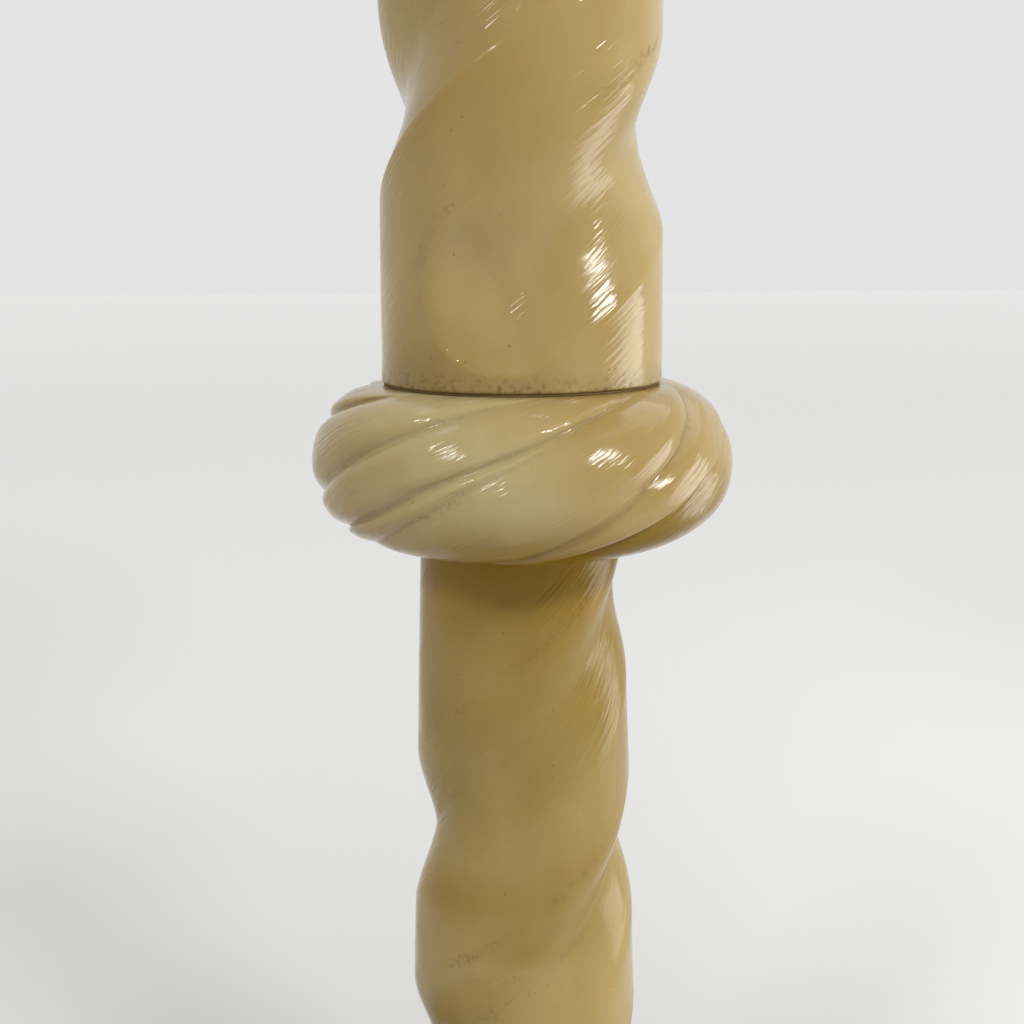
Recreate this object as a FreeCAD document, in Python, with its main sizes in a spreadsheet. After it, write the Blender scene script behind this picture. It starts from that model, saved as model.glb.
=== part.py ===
import FreeCAD, Part
import math
import os
import re

import Sketcher
from FreeCAD import Placement, Rotation, Vector

# A free-standing baptismal font: an alabaster stem of turned and carved stones threaded on one
# hollow tie tube, a lined bowl with a plugged drain, and a lift-off cover.
# Millimetres; +Z up; the origin is the middle of the footprint, on the floor.

SIZES = [
    # name, value, meaning
    ("pad_count", 8, "cork pads under the plinth"),
    ("pad_radius", 14, "radius of a cork pad"),
    ("pad_thick", 3, "thickness of a cork pad"),
    ("pad_circle", 142, "radius of the circle of pads"),
    ("plinth_flats", 340, "plinth, across flats"),
    ("plinth_thick", 57, "plinth thickness"),
    ("plinth_chamfer", 9, "chamfer round the plinth's top edge"),
    ("recess_radius", 56, "recess under the plinth for the nuts"),
    ("recess_depth", 38, "depth of that recess"),
    ("bed_thick", 1, "thickness of a bed joint"),
    ("bed_inset", 2, "how far a bed joint stands back from the stones"),
    ("tube_radius", 13.45, "outside radius of the threaded tie tube"),
    ("tube_wall", 2.95, "wall of the tie tube"),
    ("tube_gap", 1.5, "clearance of the stones round the tie tube"),
    ("fit_gap", 0.25, "clearance of washers and nuts round the tube"),
    ("ring_radius", 131, "outer radius of the carved base ring"),
    ("ring_flat", 104, "radius of the flat faces of the base ring"),
    ("ring_high", 50, "height of the base ring"),
    ("collar_foot", 86, "radius of the scotia collar at its foot"),
    ("collar_neck", 68, "radius of the scotia collar at its top"),
    ("collar_high", 27, "height of the scotia collar"),
    ("collar_edge", 6, "straight edge at the foot of the scotia collar"),
    ("lower_foot", 59.8, "lower shaft radius at its foot"),
    ("lower_head", 45.7, "lower shaft radius at its head"),
    ("lower_long", 346, "length of the lower shaft"),
    ("lower_groove", 30, "half width of a lower shaft flute"),
    ("lower_start", 45, "first flute end above the foot of the lower shaft"),
    ("lower_turn", 21.7, "azimuth of the lower flutes at the foot of their shaft, negated"),
    ("lower_end_a", 30, "flute A ends this far below the head of the shaft"),
    ("lower_end_b", 73, "flute B ends this far below the head of the shaft"),
    ("knop_radius", 93, "outer radius of the knop"),
    ("knop_flat", 60.8, "radius of the flat face on top of the knop"),
    ("knop_sole", 54, "radius of the flat face under the knop"),
    ("knop_high", 66, "height of the knop"),
    ("knop_lobes", 12, "spiral lobes round the knop and the base ring"),
    ("knop_cut", 4.2, "depth of the creases between the lobes"),
    ("upper_foot", 61, "upper shaft radius at its foot"),
    ("upper_head", 55.7, "upper shaft radius at its head"),
    ("upper_long", 236, "length of the upper shaft"),
    ("upper_groove", 33, "half width of an upper shaft flute"),
    ("upper_start", 40.5, "flutes start this far above the foot"),
    ("upper_turn", 68.2, "azimuth of the upper flutes at the foot of their shaft, negated"),
    ("upper_stop", 40, "flutes end this far below the head"),
    ("flute_pitch", 245, "height of one full turn of a flute"),
    ("flute_depth", 0.19, "flute depth as a share of the shaft radius"),
    ("arris", 2.2, "rounding of the shafts' end edges"),
    ("neck_radius", 67, "outer radius of the neck ring"),
    ("neck_flat", 57, "radius of the flat faces of the neck ring"),
    ("neck_high", 24, "height of the neck ring"),
    ("bowl_foot", 74, "radius of the bowl's foot"),
    ("bowl_radius", 229, "outer radius of the bowl"),
    ("bowl_high", 184, "height of the bowl"),
    ("bowl_wall", 22, "wall of the bowl at its rim"),
    ("bowl_depth", 150, "depth of the bowl's hollow"),
    ("rim_round", 5, "rounding of the bowl's rim"),
    ("bowl_lip", 26, "plain lip above the bowl's gadroons"),
    ("bowl_lobes", 20, "spiral gadroons round the bowl"),
    ("bowl_cut", 7, "depth of the creases between the gadroons"),
    ("nut_room", 28, "radius of the nut recess in the bowl floor"),
    ("nut_sink", 16, "depth of the nut recess in the bowl floor"),
    ("nut_flats", 41, "tie nut, across flats"),
    ("nut_high", 10, "tie nut height"),
    ("washer_radius", 25, "radius of the washer in the bowl floor"),
    ("washer_thick", 2, "thickness of the washers"),
    ("plate_radius", 48, "radius of the clamping plate under the plinth"),
    ("plate_thick", 5, "thickness of the clamping plate"),
    ("tube_tail", 10, "plain spigot of the tube below the lock nut"),
    ("spigot_step", 0.95, "how far the spigot is turned down below the threads"),
    ("tube_nose", 3, "tube above the tie nut in the bowl"),
    ("liner_gap", 1, "clearance between bowl and liner"),
    ("liner_wall", 1.5, "thickness of the brass liner"),
    ("liner_brim", 13, "width of the liner's brim on the rim"),
    ("waste_brim", 31, "radius of the waste's flange"),
    ("waste_high", 9, "height of the waste above its gasket"),
    ("waste_seat", 20, "radius of the plug seat in the waste"),
    ("waste_sink", 6, "depth of the plug seat"),
    ("waste_throat", 9, "bore of the waste"),
    ("waste_stem", 10.2, "outside radius of the waste's stem"),
    ("waste_tail", 18, "length of the waste's stem inside the tube"),
    ("gasket_thick", 1.5, "thickness of the waste's gasket"),
    ("strainer_thick", 1.6, "thickness of the strainer"),
    ("strainer_hole", 1.5, "radius of a hole in the strainer"),
    ("strainer_circle", 5.2, "radius of the ring of strainer holes"),
    ("seal_thick", 3, "thickness of the plug's seal"),
    ("plug_gap", 0.3, "clearance round the plug"),
    ("plug_thick", 4, "thickness of the plug's disc"),
    ("eye_width", 9, "width of the plug's eye"),
    ("eye_thick", 3, "thickness of the plug's eye"),
    ("eye_rise", 7, "height of the eye's hole above the plug"),
    ("eye_hole", 2.6, "radius of the eye's hole"),
    ("pull_radius", 10, "radius of the pull ring's centre line"),
    ("pull_wire", 1.5, "radius of the pull ring's wire"),
    ("pull_tilt", 14, "degrees that the resting pull ring hangs below level"),
    ("cover_gap", 0.3, "clearance between the cover's pad and the liner"),
    ("cover_pad_thick", 2, "thickness of the felt under the cover"),
    ("cover_radius", 231, "outer radius of the cover"),
    ("cover_edge", 18, "thickness of the cover's edge"),
    ("cover_spigot", 196, "radius of the cover's spigot"),
    ("cover_drop", 9, "height of the cover's spigot"),
    ("cover_shell", 14, "width of the cover's spigot"),
    ("cover_step", 14, "step in from the edge to the dome"),
    ("dome_rise", 44, "rise of the dome above the edge"),
    ("dome_top", 36, "radius of the flat on top of the dome"),
    ("hollow_rise", 28, "height of the hollow under the dome above the spigot's foot"),
    ("hollow_top", 46, "radius of the flat under the dome"),
    ("boss_radius", 34, "foot radius of the cover's boss"),
    ("boss_neck", 10, "neck radius of the boss"),
    ("boss_high", 30, "height of the boss"),
    ("cross_high", 84, "height of the cross"),
    ("cross_wide", 56, "width of the cross"),
    ("cross_arm", 12, "width of an arm of the cross"),
    ("cross_thick", 10, "thickness of the cross"),
    ("cross_level", 50, "height of the cross arm's middle"),
    ("stud_radius", 4, "radius of the cover's stud"),
    ("stud_grip", 15, "length of the stud inside the cross"),
    ("stud_tail", 4, "stud below the cover's nut"),
    ("stud_gap", 0.25, "clearance of the cover round its stud"),
    ("small_nut_flats", 13, "cover nut, across flats"),
    ("small_nut_high", 7, "cover nut height"),
    ("small_washer", 12, "radius of the cover's washer"),
]

FRONT = -90.0  # azimuth of -Y, from which the carved stones' azimuths are counted
FLUTES = 2  # flutes on each shaft, half a turn apart
RIM_SHARE = 0.12  # share of the bowl's rows that round its rim


# The document, its sheet of sizes, and how expressions reach them

doc = FreeCAD.newDocument("baptismal_font")
sheet = doc.addObject("Spreadsheet::Sheet", "Sizes")
for row, (alias, value, meaning) in enumerate(SIZES, start=1):
    sheet.set(f"A{row}", meaning)
    sheet.set(f"B{row}", str(value))
    sheet.setAlias(f"B{row}", alias)
doc.recompute()

ALIASES = {alias for alias, value, meaning in SIZES}


def bound(formula):
    """The formula with each size written as a reference to the sheet."""
    return re.sub(
        r"[a-z_]+", lambda word: f"Sizes.{word[0]}" if word[0] in ALIASES else word[0], formula
    )


def size(formula):
    """The value that the formula has now."""
    found = sheet.evalExpression(bound(formula))
    return float(getattr(found, "Value", found))


def bind(thing, prop, formula):
    thing.setExpression(prop, bound(formula))


def stand(piece, formula):
    """Sets the height of the piece's foot."""
    bind(piece, ".Placement.Base.z", formula)


# Levels of the stack, each written from the sizes below it

PLINTH = "pad_thick"
PLINTH_BED = f"{PLINTH} + plinth_thick"
BASE_RING = f"{PLINTH_BED} + bed_thick"
BASE_BED = f"{BASE_RING} + ring_high"
COLLAR = f"{BASE_BED} + bed_thick"
SHAFT_BED = f"{COLLAR} + collar_high"
LOWER = f"{SHAFT_BED} + bed_thick"
KNOP_BED = f"{LOWER} + lower_long"
KNOP = f"{KNOP_BED} + bed_thick"
KNOP_TOP_BED = f"{KNOP} + knop_high"
UPPER = f"{KNOP_TOP_BED} + bed_thick"
NECK_BED = f"{UPPER} + upper_long"
NECK = f"{NECK_BED} + bed_thick"
BOWL_BED = f"{NECK} + neck_high"
BOWL = f"{BOWL_BED} + bed_thick"
RIM = f"{BOWL} + bowl_high"
BOWL_FLOOR = f"{RIM} - bowl_depth"
TOP_WASHER = f"{BOWL_FLOOR} - nut_sink"
TOP_NUT = f"{TOP_WASHER} + washer_thick"
TUBE_TOP = f"{TOP_NUT} + nut_high + tube_nose"
FOOT_PLATE = f"{PLINTH} + recess_depth - plate_thick"
FOOT_NUT = f"{FOOT_PLATE} - nut_high"
LOCK_NUT = f"{FOOT_NUT} - nut_high"
TUBE_END = f"{LOCK_NUT} - tube_tail"
LINER_FLOOR = f"{BOWL_FLOOR} + liner_gap"
GASKET = f"{LINER_FLOOR} + liner_wall"
WASTE = f"{GASKET} + gasket_thick"
WASTE_FLOOR = f"{WASTE} + waste_high - waste_sink"
SEAL = f"{WASTE_FLOOR} + plug_gap"
PLUG = f"{SEAL} + seal_thick"
EYE = f"{PLUG} + plug_thick + eye_rise"
BRIM = RIM
COVER_PAD = f"{BRIM} + liner_wall + cover_gap"
COVER = f"{COVER_PAD} + cover_pad_thick"
BOSS = f"{COVER} + cover_edge + dome_rise"
CROSS = f"{BOSS} + boss_high"
COVER_WASHER = f"{COVER} - cover_drop + hollow_rise - washer_thick"
COVER_NUT = f"{COVER_WASHER} - small_nut_high"
STUD = f"{COVER_NUT} - stud_tail"

STONE_BORE = "tube_radius + tube_gap"
SNUG_BORE = "tube_radius + fit_gap"


# Ways of making a piece


def plane(body, role):
    return next(f for f in body.Origin.OriginFeatures if f.Role == role)


def flat_sketch(body, name, role):
    sketch = body.newObject("Sketcher::SketchObject", name)
    sketch.AttachmentSupport = [(plane(body, role), "")]
    sketch.MapMode = "FlatFace"
    return sketch


def pin_point(sketch, geometry, end, across, up):
    """Fixes one end of a sketch element at the distances across and up from the sketch's origin."""
    for kind, axis, formula in (("DistanceX", -2, across), ("DistanceY", -1, up)):
        if formula == "0":
            sketch.addConstraint(Sketcher.Constraint("PointOnObject", geometry, end, axis))
            continue
        rule = Sketcher.Constraint(kind, -1, 1, geometry, end, size(formula))
        number = sketch.addConstraint(rule)
        bind(sketch, f"Constraints[{number}]", formula)


def draw_outline(sketch, outline):
    """Draws a closed outline. A corner is (across, up) or (across, up, radius, side): the last two
    make the edge that leaves it an arc, bulging to the right (1) or left (-1) of its travel."""
    corners = [Vector(size(corner[0]), size(corner[1]), 0) for corner in outline]
    ends = []
    for number, corner in enumerate(outline):
        start = corners[number]
        end = corners[(number + 1) % len(corners)]
        if len(corner) == 2:
            sketch.addGeometry(Part.LineSegment(start, end))
            ends.append((1, 2))
            continue
        radius = size(corner[2])
        chord = end - start
        right = Vector(chord.y, -chord.x, 0).normalize()
        inset = math.sqrt(max(radius**2 - (chord.Length / 2) ** 2, 0.0))
        centre = (start + end) * 0.5 - right * (inset * corner[3])
        first, last = (start, end) if corner[3] > 0 else (end, start)
        angles = [math.atan2(p.y - centre.y, p.x - centre.x) for p in (first, last)]
        circle = Part.Circle(centre, Vector(0, 0, 1), radius)
        sketch.addGeometry(Part.ArcOfCircle(circle, angles[0], angles[1]))
        rule = sketch.addConstraint(Sketcher.Constraint("Radius", number, radius))
        bind(sketch, f"Constraints[{rule}]", corner[2])
        ends.append((1, 2) if corner[3] > 0 else (2, 1))
    for number, corner in enumerate(outline):
        before = number - 1 if number else len(outline) - 1
        joined = Sketcher.Constraint("Coincident", before, ends[before][1], number, ends[number][0])
        sketch.addConstraint(joined)
        pin_point(sketch, number, ends[number][0], corner[0], corner[1])


def turned(name, outline):
    """A body turned about Z from a closed outline of (radius, height) corners."""
    body = doc.addObject("PartDesign::Body", name)
    sketch = flat_sketch(body, f"{name}_outline", "XZ_Plane")
    draw_outline(sketch, outline)
    turning = body.newObject("PartDesign::Revolution", f"{name}_turning")
    turning.Profile = sketch
    turning.ReferenceAxis = (sketch, ["V_Axis"])
    turning.Angle = 360
    return body


def washer(name, outer, bore, thick):
    return turned(name, [(bore, "0"), (outer, "0"), (outer, thick), (bore, thick)])


def cylinder(name, radius, height, foot="0"):
    tool = doc.addObject("Part::Cylinder", name)
    bind(tool, "Radius", radius)
    bind(tool, "Height", height)
    stand(tool, foot)
    return tool


def cut(name, stock, tool):
    piece = doc.addObject("Part::Cut", name)
    piece.Base = stock
    piece.Tool = tool
    return piece


def hex_nut(name, flats, height, bore):
    """A hexagon nut with turned corners and a plain bore."""
    stock = doc.addObject("Part::Prism", f"{name}_stock")
    stock.Polygon = 6
    bind(stock, "Circumradius", f"{flats} / (2 * cos(30))")
    bind(stock, "Height", height)
    crown = doc.addObject("Part::Cone", f"{name}_crown")
    bind(crown, "Radius1", f"{flats} / 2 * 0.98 + {height} * 1.7")
    bind(crown, "Radius2", f"{flats} / 2 * 0.98")
    bind(crown, "Height", height)
    shaped = doc.addObject("Part::Common", f"{name}_shaped")
    shaped.Base = stock
    shaped.Tool = crown
    return cut(name, shaped, cylinder(f"{name}_bore", bore, height))


def skin(name, point, columns, rows):
    """A solid whose side is one smooth surface, closed round Z, through a net of control points:
    point(azimuth, share) for shares 0 to 1 from its foot to its head, which are flat."""
    net = []
    for column in range(columns):
        azimuth = 360.0 * column / columns
        net.append([point(azimuth, row / (rows - 1)) for row in range(rows)])
    # A cubic net lies a little outside its surface: this undoes it for a plain circle.
    proud = 3.0 / (2.0 + math.cos(2 * math.pi / columns))
    net = [[Vector(p.x * proud, p.y * proud, p.z) for p in line] for line in net]
    surface = Part.BSplineSurface()
    surface.buildFromPolesMultsKnots(
        net,
        [1] * (columns + 1),
        [4] + [1] * (rows - 4) + [4],
        list(range(columns + 1)),
        list(range(rows - 2)),
        True,
        False,
        3,
        3,
    )
    side = surface.toShape()
    rings = [edge for edge in side.Edges if edge.isClosed()]
    caps = [Part.Face(Part.Wire([ring])).reversed() for ring in rings]
    stock = doc.addObject("Part::Feature", name)
    stock.Shape = Part.Solid(Part.Shell([side] + caps))
    return stock


def round_about(radius, azimuth, height):
    """The point at that radius and height, its azimuth counted from the front."""
    angle = math.radians(azimuth + FRONT)
    return Vector(radius * math.cos(angle), radius * math.sin(angle), height)


def bored(name, stock, height, bore=STONE_BORE):
    return cut(name, stock, cylinder(f"{name}_bore", bore, height))


# Carved stones


def flute_reach(azimuth, height, phase, low, high, radius):
    """Distance on the unrolled shaft from a flute's centre line, which is at azimuth phase at the
    shaft's foot and runs from height low to height high."""
    pitch = size("flute_pitch")
    climb = math.atan2(pitch, 2 * math.pi * radius)
    nearest = math.inf
    middle = round((azimuth - phase - 360.0 * height / pitch) / 360.0)
    for turn in (middle - 1, middle, middle + 1):
        start = phase + 360.0 * low / pitch
        across = math.radians(azimuth - start - 360.0 * turn) * radius
        above = height - low
        along = across * math.cos(climb) + above * math.sin(climb)
        aside = across * math.sin(climb) - above * math.cos(climb)
        past = min(along, 0.0) + max(along - (high - low) / math.sin(climb), 0.0)
        nearest = min(nearest, math.hypot(past, aside))
    return nearest


def fluted_shaft(name, foot, head, length, half_width, flutes):
    """A tapering shaft with winding flutes: (phase, low, high) each."""
    arris = size("arris")
    long = size(length)
    rows = 2 + round(long / 7.0)

    def point(azimuth, share):
        step = share * (rows - 1)
        height = min(max((step - 1.0) / (rows - 3), 0.0), 1.0) * long
        radius = size(foot) + (size(head) - size(foot)) * height / long
        if step in (0, rows - 1):
            return round_about(radius - arris, azimuth, height)
        cut_in = 0.0
        for phase, low, high in flutes:
            reach = flute_reach(azimuth, height, phase, low, high, radius)
            if reach < size(half_width):
                swell = (1 + math.cos(math.pi * reach / size(half_width))) / 2
                cut_in = max(cut_in, swell)
        return round_about(radius * (1 - size("flute_depth") * cut_in), azimuth, height)

    stock = skin(f"{name}_skin", point, 60, rows)
    return bored(name, stock, length)


def cushion(name, outer, flat, sole, height, lean, columns_per_lobe=8, rows=15):
    """A ring like a cushion, with a flat top and sole, carved with lobes that lean round it; lean
    is in degrees of azimuth for each degree round the section."""
    lobes = round(size("knop_lobes"))
    half = size(height) / 2

    def point(azimuth, share):
        section = -90.0 + 180.0 * share
        phase = (lobes * (azimuth - lean * section) / 360.0) % 1.0
        crease = 1.0 - abs(math.sin(math.pi * phase)) ** 0.7
        fade = min(1.0, math.cos(math.radians(section)) * 1.6)
        inward = size("knop_cut") * crease * fade
        face = size(sole if section < 0 else flat)
        radius = face + (size(outer) - face - inward) * math.cos(math.radians(section))
        rise = half + (half - inward) * math.sin(math.radians(section))
        if share in (0.0, 1.0):
            rise = 2 * half * share
        return round_about(radius, azimuth, rise)

    stock = skin(f"{name}_skin", point, lobes * columns_per_lobe, rows)
    return bored(name, stock, height)


def bowl_side(azimuth, share):
    """The bowl's outside: a quarter of an ellipse from foot to rim, gadrooned below its lip."""
    lobes = round(size("bowl_lobes"))
    high = size("bowl_high")
    travel = share * (1.0 + RIM_SHARE)
    sweep = math.radians(90.0 * min(travel, 1.0))
    swell = size("bowl_radius - bowl_foot")
    radius = size("bowl_foot") + swell * math.sin(sweep)
    radius -= size("rim_round") * (max(travel - 1.0, 0.0) / RIM_SHARE) ** 2
    height = high * (1 - math.cos(sweep))
    phase = (lobes * (azimuth + 34.0 * share) / 360.0) % 1.0
    crease = 1.0 - abs(math.sin(math.pi * phase)) ** 0.7
    below_lip = (high - size("bowl_lip") - height) / 12.0
    fade = min(max(below_lip, 0.0), 1.0) * min(share * 6.0, 1.0)
    return round_about(radius - size("bowl_cut") * crease * fade, azimuth, height)


def make_plinth():
    """The octagonal slab, its recess and its bore."""
    body = doc.addObject("PartDesign::Body", "plinth")
    sketch = flat_sketch(body, "plinth_outline", "XY_Plane")
    reach = size("plinth_flats") / 2 / math.cos(math.pi / 8)
    corners = []
    for number in range(8):
        angle = math.radians(22.5 + 45 * number)
        corners.append(Vector(reach * math.cos(angle), reach * math.sin(angle), 0))
    for number in range(8):
        sketch.addGeometry(Part.LineSegment(corners[number], corners[(number + 1) % 8]))
    sketch.addGeometry(Part.Circle(Vector(), Vector(0, 0, 1), reach), True)
    sketch.addConstraint(Sketcher.Constraint("Coincident", 8, 3, -1, 1))
    rule = sketch.addConstraint(Sketcher.Constraint("Radius", 8, reach))
    bind(sketch, f"Constraints[{rule}]", "plinth_flats / (2 * cos(22.5))")
    for number in range(8):
        joined = Sketcher.Constraint("Coincident", number, 2, (number + 1) % 8, 1)
        sketch.addConstraint(joined)
        sketch.addConstraint(Sketcher.Constraint("PointOnObject", number, 1, 8))
    for number in range(1, 8):
        sketch.addConstraint(Sketcher.Constraint("Equal", 0, number))
    sketch.addConstraint(Sketcher.Constraint("Horizontal", 1))
    slab = body.newObject("PartDesign::Pad", "plinth_slab")
    slab.Profile = sketch
    bind(slab, "Length", "plinth_thick")
    doc.recompute()
    top = []
    for number, edge in enumerate(slab.Shape.Edges, start=1):
        if min(v.Z for v in edge.Vertexes) > size("plinth_thick") - 0.01:
            top.append(f"Edge{number}")
    bevel = body.newObject("PartDesign::Chamfer", "plinth_bevel")
    bevel.Base = (slab, top)
    bind(bevel, "Size", "plinth_chamfer")
    doc.recompute()
    for name, radius, depth in (
        ("plinth_recess", "recess_radius", "recess_depth"),
        ("plinth_bore", STONE_BORE, "plinth_thick"),
    ):
        ring = flat_sketch(body, f"{name}_ring", "XY_Plane")
        ring.addGeometry(Part.Circle(Vector(), Vector(0, 0, 1), size(radius)))
        ring.addConstraint(Sketcher.Constraint("Coincident", 0, 3, -1, 1))
        rule = ring.addConstraint(Sketcher.Constraint("Radius", 0, size(radius)))
        bind(ring, f"Constraints[{rule}]", radius)
        pocket = body.newObject("PartDesign::Pocket", name)
        pocket.Profile = ring
        pocket.Reversed = True
        bind(pocket, "Length", depth)
    stand(body, PLINTH)
    return body


def make_pads():
    """Cork pads under the corners of the plinth."""
    body = doc.addObject("PartDesign::Body", "foot_pads")
    body.AllowCompound = True
    sketch = flat_sketch(body, "foot_pads_outline", "XY_Plane")
    sketch.addGeometry(Part.Circle(Vector(), Vector(0, 0, 1), size("pad_radius")))
    rule = sketch.addConstraint(Sketcher.Constraint("Radius", 0, size("pad_radius")))
    bind(sketch, f"Constraints[{rule}]", "pad_radius")
    pin_point(sketch, 0, 3, "pad_circle * cos(22.5)", "pad_circle * sin(22.5)")
    pad = body.newObject("PartDesign::Pad", "foot_pads_disc")
    pad.Profile = sketch
    bind(pad, "Length", "pad_thick")
    ring = body.newObject("PartDesign::PolarPattern", "foot_pads_ring")
    ring.Originals = [pad]
    ring.Axis = (sketch, ["N_Axis"])
    ring.Angle = 360
    bind(ring, "Occurrences", "pad_count")
    body.Tip = ring
    return body


def make_base():
    """Everything between the floor and the lower shaft."""
    pads = make_pads()
    plinth = make_plinth()
    ring = cushion("base_torus", "ring_radius", "ring_flat", "ring_flat", "ring_high", 0.55)
    stand(ring, BASE_RING)
    collar = turned(
        "base_collar",
        [
            (STONE_BORE, "0"),
            ("collar_foot", "0"),
            ("collar_foot", "collar_edge"),
            ("collar_foot - 3", "collar_edge", "collar_high - collar_edge", -1),
            ("collar_neck", "collar_high - 4"),
            ("collar_neck", "collar_high"),
            (STONE_BORE, "collar_high"),
        ],
    )
    stand(collar, COLLAR)
    return [pads, plinth, ring, collar]


def make_beds():
    """Thin bed joints between the stones, each a little smaller than the stone it carries."""
    beds = []
    for name, radius, level in (
        ("plinth_bed", "ring_flat", PLINTH_BED),
        ("base_bed", "collar_foot", BASE_BED),
        ("shaft_bed", "lower_foot - arris", SHAFT_BED),
        ("knop_bed_lower", "lower_head - arris", KNOP_BED),
        ("knop_bed_upper", "knop_flat", KNOP_TOP_BED),
        ("neck_bed", "upper_head - arris", NECK_BED),
        ("bowl_bed", "neck_flat", BOWL_BED),
    ):
        bed = washer(name, f"{radius} - bed_inset", STONE_BORE, "bed_thick")
        stand(bed, level)
        beds.append(bed)
    return beds


def make_stem():
    """The two shafts, the knop and the neck ring."""
    long = size("lower_long")
    low = size("lower_start")
    first = -size("lower_turn")
    lower = fluted_shaft(
        "lower_shaft",
        "lower_foot",
        "lower_head",
        "lower_long",
        "lower_groove",
        [
            (first, low, long - size("lower_end_a")),
            (first + 180, low, long - size("lower_end_b")),
        ],
    )
    stand(lower, LOWER)
    knop = cushion("knop", "knop_radius", "knop_flat", "knop_sole", "knop_high", 0.72)
    stand(knop, KNOP)
    first = -size("upper_turn")
    stop = size("upper_long - upper_stop")
    flutes = [(first + 180.0 * n, size("upper_start"), stop) for n in range(FLUTES)]
    upper = fluted_shaft(
        "upper_shaft", "upper_foot", "upper_head", "upper_long", "upper_groove", flutes
    )
    stand(upper, UPPER)
    bulge = "(neck_radius - neck_flat)"
    neck = turned(
        "neck_ring",
        [
            (STONE_BORE, "0"),
            ("neck_flat", "0", f"((neck_high / 2)^2 + {bulge}^2) / (2 * {bulge})", 1),
            ("neck_flat", "neck_high"),
            (STONE_BORE, "neck_high"),
        ],
    )
    stand(neck, NECK)
    return [lower, knop, upper, neck]


def make_bowl():
    """The bowl with its hollow, its nut recess and its bore."""
    stock = skin("bowl_skin", bowl_side, round(size("bowl_lobes")) * 8, 16)
    inner = "bowl_radius - bowl_wall"
    hollow = turned(
        "bowl_hollow",
        [
            ("0", "bowl_high - bowl_depth"),
            (f"{inner} - bowl_depth", "bowl_high - bowl_depth", "bowl_depth", 1),
            (inner, "bowl_high"),
            (inner, "bowl_high + 5"),
            ("0", "bowl_high + 5"),
        ],
    )
    scooped = cut("bowl_scooped", stock, hollow)
    recess = cylinder(
        "bowl_nut_room", "nut_room", "nut_sink + 1", "bowl_high - bowl_depth - nut_sink"
    )
    sunk = cut("bowl_sunk", scooped, recess)
    bowl = bored("bowl", sunk, "bowl_high - bowl_depth")
    stand(bowl, BOWL)
    return bowl


def make_tie():
    """The hollow tie tube and what clamps the stones on it."""
    bore, spigot = "tube_radius - tube_wall", "tube_radius - spigot_step"
    top = f"{TUBE_TOP} - ({TUBE_END})"
    tube = turned(
        "tie_tube",
        [
            (bore, "0"),
            (spigot, "0"),
            (spigot, "tube_tail"),
            ("tube_radius", "tube_tail"),
            ("tube_radius", top),
            (bore, top),
        ],
    )
    stand(tube, TUBE_END)
    top_washer = washer("top_washer", "washer_radius", SNUG_BORE, "washer_thick")
    stand(top_washer, TOP_WASHER)
    plate = washer("foot_plate", "plate_radius", SNUG_BORE, "plate_thick")
    stand(plate, FOOT_PLATE)
    pieces = [tube, top_washer, plate]
    for name, level in (("top_nut", TOP_NUT), ("foot_nut", FOOT_NUT), ("lock_nut", LOCK_NUT)):
        nut = hex_nut(name, "nut_flats", "nut_high", "tube_radius")
        stand(nut, level)
        pieces.append(nut)
    return pieces


def make_basin():
    """The brass liner, its waste and the strainer."""
    arc = "bowl_depth - liner_gap"
    inside = "bowl_radius - bowl_wall - liner_gap"
    floor = f"{inside} - ({arc})"
    wall = "liner_wall"
    liner = turned(
        "basin_liner",
        [
            ("waste_stem + fit_gap", "0"),
            (floor, "0", arc, 1),
            (inside, arc),
            (f"{inside} + liner_brim", arc),
            (f"{inside} + liner_brim", f"{arc} + {wall}"),
            (f"{inside} - {wall}", f"{arc} + {wall}"),
            (f"{inside} - {wall}", arc, f"{arc} - {wall}", -1),
            (floor, wall),
            ("waste_stem + fit_gap", wall),
        ],
    )
    stand(liner, LINER_FLOOR)
    gasket = washer("waste_gasket", "waste_brim - 2", "waste_stem + fit_gap", "gasket_thick")
    stand(gasket, GASKET)
    flange = f"{WASTE} - ({TUBE_TOP}) + waste_tail"
    waste = turned(
        "waste_fitting",
        [
            ("waste_throat", "0"),
            ("waste_stem", "0"),
            ("waste_stem", flange),
            ("waste_brim", flange),
            ("waste_brim", f"{flange} + waste_high - 3", "3", 1),
            ("waste_brim - 3", f"{flange} + waste_high"),
            ("waste_seat", f"{flange} + waste_high"),
            ("waste_seat", f"{flange} + waste_high - waste_sink"),
            ("waste_throat", f"{flange} + waste_high - waste_sink"),
        ],
    )
    stand(waste, f"{TUBE_TOP} - waste_tail")
    disc = cylinder("strainer_disc", "waste_throat", "strainer_thick")
    strainer = disc
    for number in range(7):
        hole = cylinder(f"strainer_hole_{number}", "strainer_hole", "strainer_thick")
        if number:
            turn = 60 * number
            bind(hole, ".Placement.Base.x", f"strainer_circle * cos({turn})")
            bind(hole, ".Placement.Base.y", f"strainer_circle * sin({turn})")
        name = "strainer" if number == 6 else f"strainer_cut_{number}"
        strainer = cut(name, strainer, hole)
    stand(strainer, f"{WASTE_FLOOR} - 6")
    return [liner, gasket, waste, strainer]


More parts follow.
